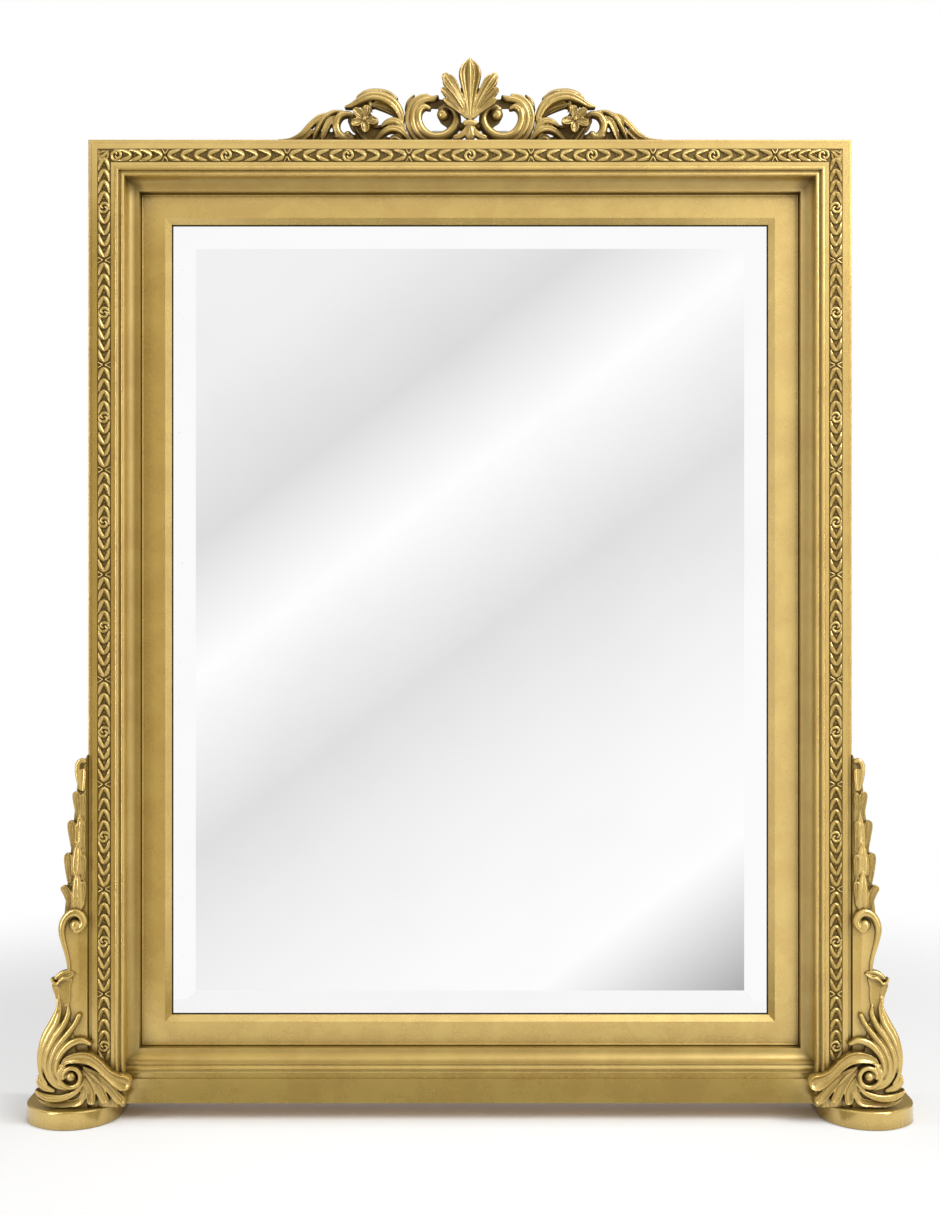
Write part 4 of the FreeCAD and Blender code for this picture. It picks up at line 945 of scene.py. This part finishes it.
# The world is plain white to the camera and in the plate, an even fill to diffuse rays, and to the gold a
# room with bright walls left and right, a bright ceiling and a dark ground
def makeWorld():
    look = stageLook
    paint = Paint("studio", "World")
    glossy = paint.ray("Glossy")
    singular = paint.ray("Singular")
    aside, _, up = paint.parts(paint.add("ShaderNodeTexCoord", {}, "Generated", {}))
    walls = paint.step(aside.size(), *look["wallRise"], look["roomDark"], look["roomBright"])
    ceiling = paint.step(up, *look["ceilingRise"], look["roomDark"], look["roomBright"])
    ground = paint.step(up, *look["groundRise"], look["ground"], 1.0)
    room = walls.larger(ceiling) * ground
    dim = paint.step(room, look["roomDark"], 1.0, 1.0, 0.0)
    seen = paint.ray("Camera").larger(paint.ray("Transmission")).larger(singular)
    level = paint.between(seen, paint.between(glossy, look["ambient"], room), 1.0)
    tint = paint.blend((dim * (glossy - singular)).clamp(), (1, 1, 1), look["warm"])
    scene.world = paint.show(paint.add("ShaderNodeBackground", {}, "Background",
                                       {"Color": tint, "Strength": level}))


# A card that only reflections see, painted by its own coordinates; the plate sees it where it is sharp
def makeCard(name, size, spot, turn, sharp, colour):
    bpy.ops.object.select_all(action="DESELECT")
    bpy.ops.mesh.primitive_plane_add(size=1, location=spot, rotation=turn)
    card = bpy.context.object
    card.name = name
    card.scale = (*size, 1)
    bpy.ops.object.transform_apply(location=False, rotation=False, scale=True)
    paint = Paint(name)
    glow = paint.add("ShaderNodeEmission", {}, "Emission", {"Color": colour(paint), "Strength": 1.0})
    if not sharp:
        clear = paint.add("ShaderNodeBsdfTransparent", {}, "BSDF", {})
        glow = paint.mixShaders(paint.ray("Singular"), glow, clear)
    card.data.materials.append(paint.show(glow))
    card.visible_camera = False
    card.visible_diffuse = False
    card.visible_shadow = False
    card.visible_transmission = False


# What the sharp plate mirrors: soft diagonal bands, and white where its bevel looks. What the blurred
# gold mirrors from the same place: a wall that is dimmer on the left, brightest on the right, dim above
wallLook = {
    "size": (1.50, 1.76), "middle": (0.0, -0.62, 0.885), "tilt": math.radians(37),
    "plateHalf": 0.508, "plateTop": 1.396, "plateSoft": 0.01, "crownRise": (1.40, 1.48),
    "bands": ((0.00, 0.98), (0.12, 0.96), (0.255, 0.80), (0.31, 0.95), (0.37, 1.10), (0.44, 0.97),
              (0.52, 0.83), (0.62, 0.95), (0.72, 1.03), (0.86, 1.10), (0.89, 0.98), (1.00, 0.44)),
    "bandStart": -1.41, "bandEnd": 0.29, "bevelWhite": 1.06, "warmBelow": 0.35, "warmGreen": 0.82,
    "warmBlue": 0.52,
    "across": ((-0.75, 0.24), (-0.68, 0.32), (-0.58, 0.46), (-0.45, 0.72), (0.40, 0.95), (0.57, 1.32),
               (0.66, 0.85), (0.75, 0.60)),
    "crown": ((1.40, 0.85), (1.48, 0.88), (1.54, 1.32), (1.60, 1.10), (1.66, 0.30), (1.765, 0.28)),
}


# Dim parts of the room are warm, and bright ones white
def roomTint(tone):
    look = wallLook
    share = min(max((tone - look["warmBelow"]) / (1 - look["warmBelow"]), 0.0), 1.0)
    green = look["warmGreen"] + (1 - look["warmGreen"]) * share
    blue = look["warmBlue"] + (1 - look["warmBlue"]) * share
    return (tone, tone * green, tone * blue)


def wallColour(paint):
    look = wallLook
    across, up, _ = paint.parts(paint.place())
    up = up + look["middle"][2]

    def tones(place, stops):
        low, high = stops[0][0], stops[-1][0]
        return paint.ramp((place - low) / (high - low),
                          [((spot - low) / (high - low), roomTint(tone)) for spot, tone in stops])

    along = across * math.sin(look["tilt"]) - up * math.cos(look["tilt"])
    bands = paint.ramp((along - look["bandStart"]) / (look["bandEnd"] - look["bandStart"]),
                       [(spot, (tone,) * 3) for spot, tone in look["bands"]])
    outside = paint.step(across.size(), look["plateHalf"], look["plateHalf"] + look["plateSoft"])
    outside = outside.larger(paint.step(up, look["plateTop"], look["plateTop"] + look["plateSoft"]))
    plate = paint.blend(outside, bands, (look["bevelWhite"],) * 3)
    wall = paint.blend(paint.step(up, *look["crownRise"]), tones(across, look["across"]),
                       tones(up, look["crown"]))
    return paint.blend(paint.ray("Singular"), wall, plate)


# each lamp: name, place, aim, size and power in watts
def makeLamps():
    lamps = (
        ("keyLamp", (2.0, -2.1, 2.7), (0, 0, 0.7), (2.0, 2.0), 94.0),
        ("topLamp", (0.2, -1.2, 3.0), (0, 0, 0.8), (2.0, 0.8), 9.0),
        ("rightStrip", (1.45, -1.10, 0.80), (0.3, 0, 0.75), (0.22, 1.70), 8.0),
        ("leftStrip", (-1.45, -1.10, 0.80), (-0.3, 0, 0.75), (0.22, 1.70), 12.0),
    )
    for name, spot, aim, size, power in lamps:
        lamp = bpy.data.lights.new(name, "AREA")
        lamp.shape = "RECTANGLE"
        lamp.size, lamp.size_y = size
        lamp.energy = power
        holder = bpy.data.objects.new(name, lamp)
        scene.collection.objects.link(holder)
        holder.location = spot
        holder.rotation_euler = (Vector(aim) - Vector(spot)).to_track_quat("-Z", "Y").to_euler()


def makeCamera():
    look = stageLook
    camera = bpy.data.cameras.new("photoCamera")
    camera.sensor_fit = "VERTICAL"
    camera.sensor_height = look["filmHeight"]
    camera.lens = look["lens"]
    camera.dof.use_dof = False
    holder = bpy.data.objects.new("photoCamera", camera)
    scene.collection.objects.link(holder)
    holder.location = (0, look["laurelPlane"] - look["cameraAway"], look["eyeHeight"])
    holder.rotation_euler = (quarter, 0, 0)
    scene.camera = holder
    scene.view_settings.view_transform = "Standard"


# A dull card on the floor before the rail, for the gold to mirror
flagLook = {"size": (1.0, 0.30), "middle": (0, -0.20, 0.003), "colour": (0.22, 0.21, 0.19)}


def flagColour(paint):
    return flagLook["colour"]


makeFloor()
makeWorld()
makeLamps()
makeCard("mirroredWall", wallLook["size"], wallLook["middle"], (quarter, 0, 0), True, wallColour)
makeCard("floorFlag", flagLook["size"], flagLook["middle"], (0, 0, 0), False, flagColour)
makeCamera()
print("stage: done")
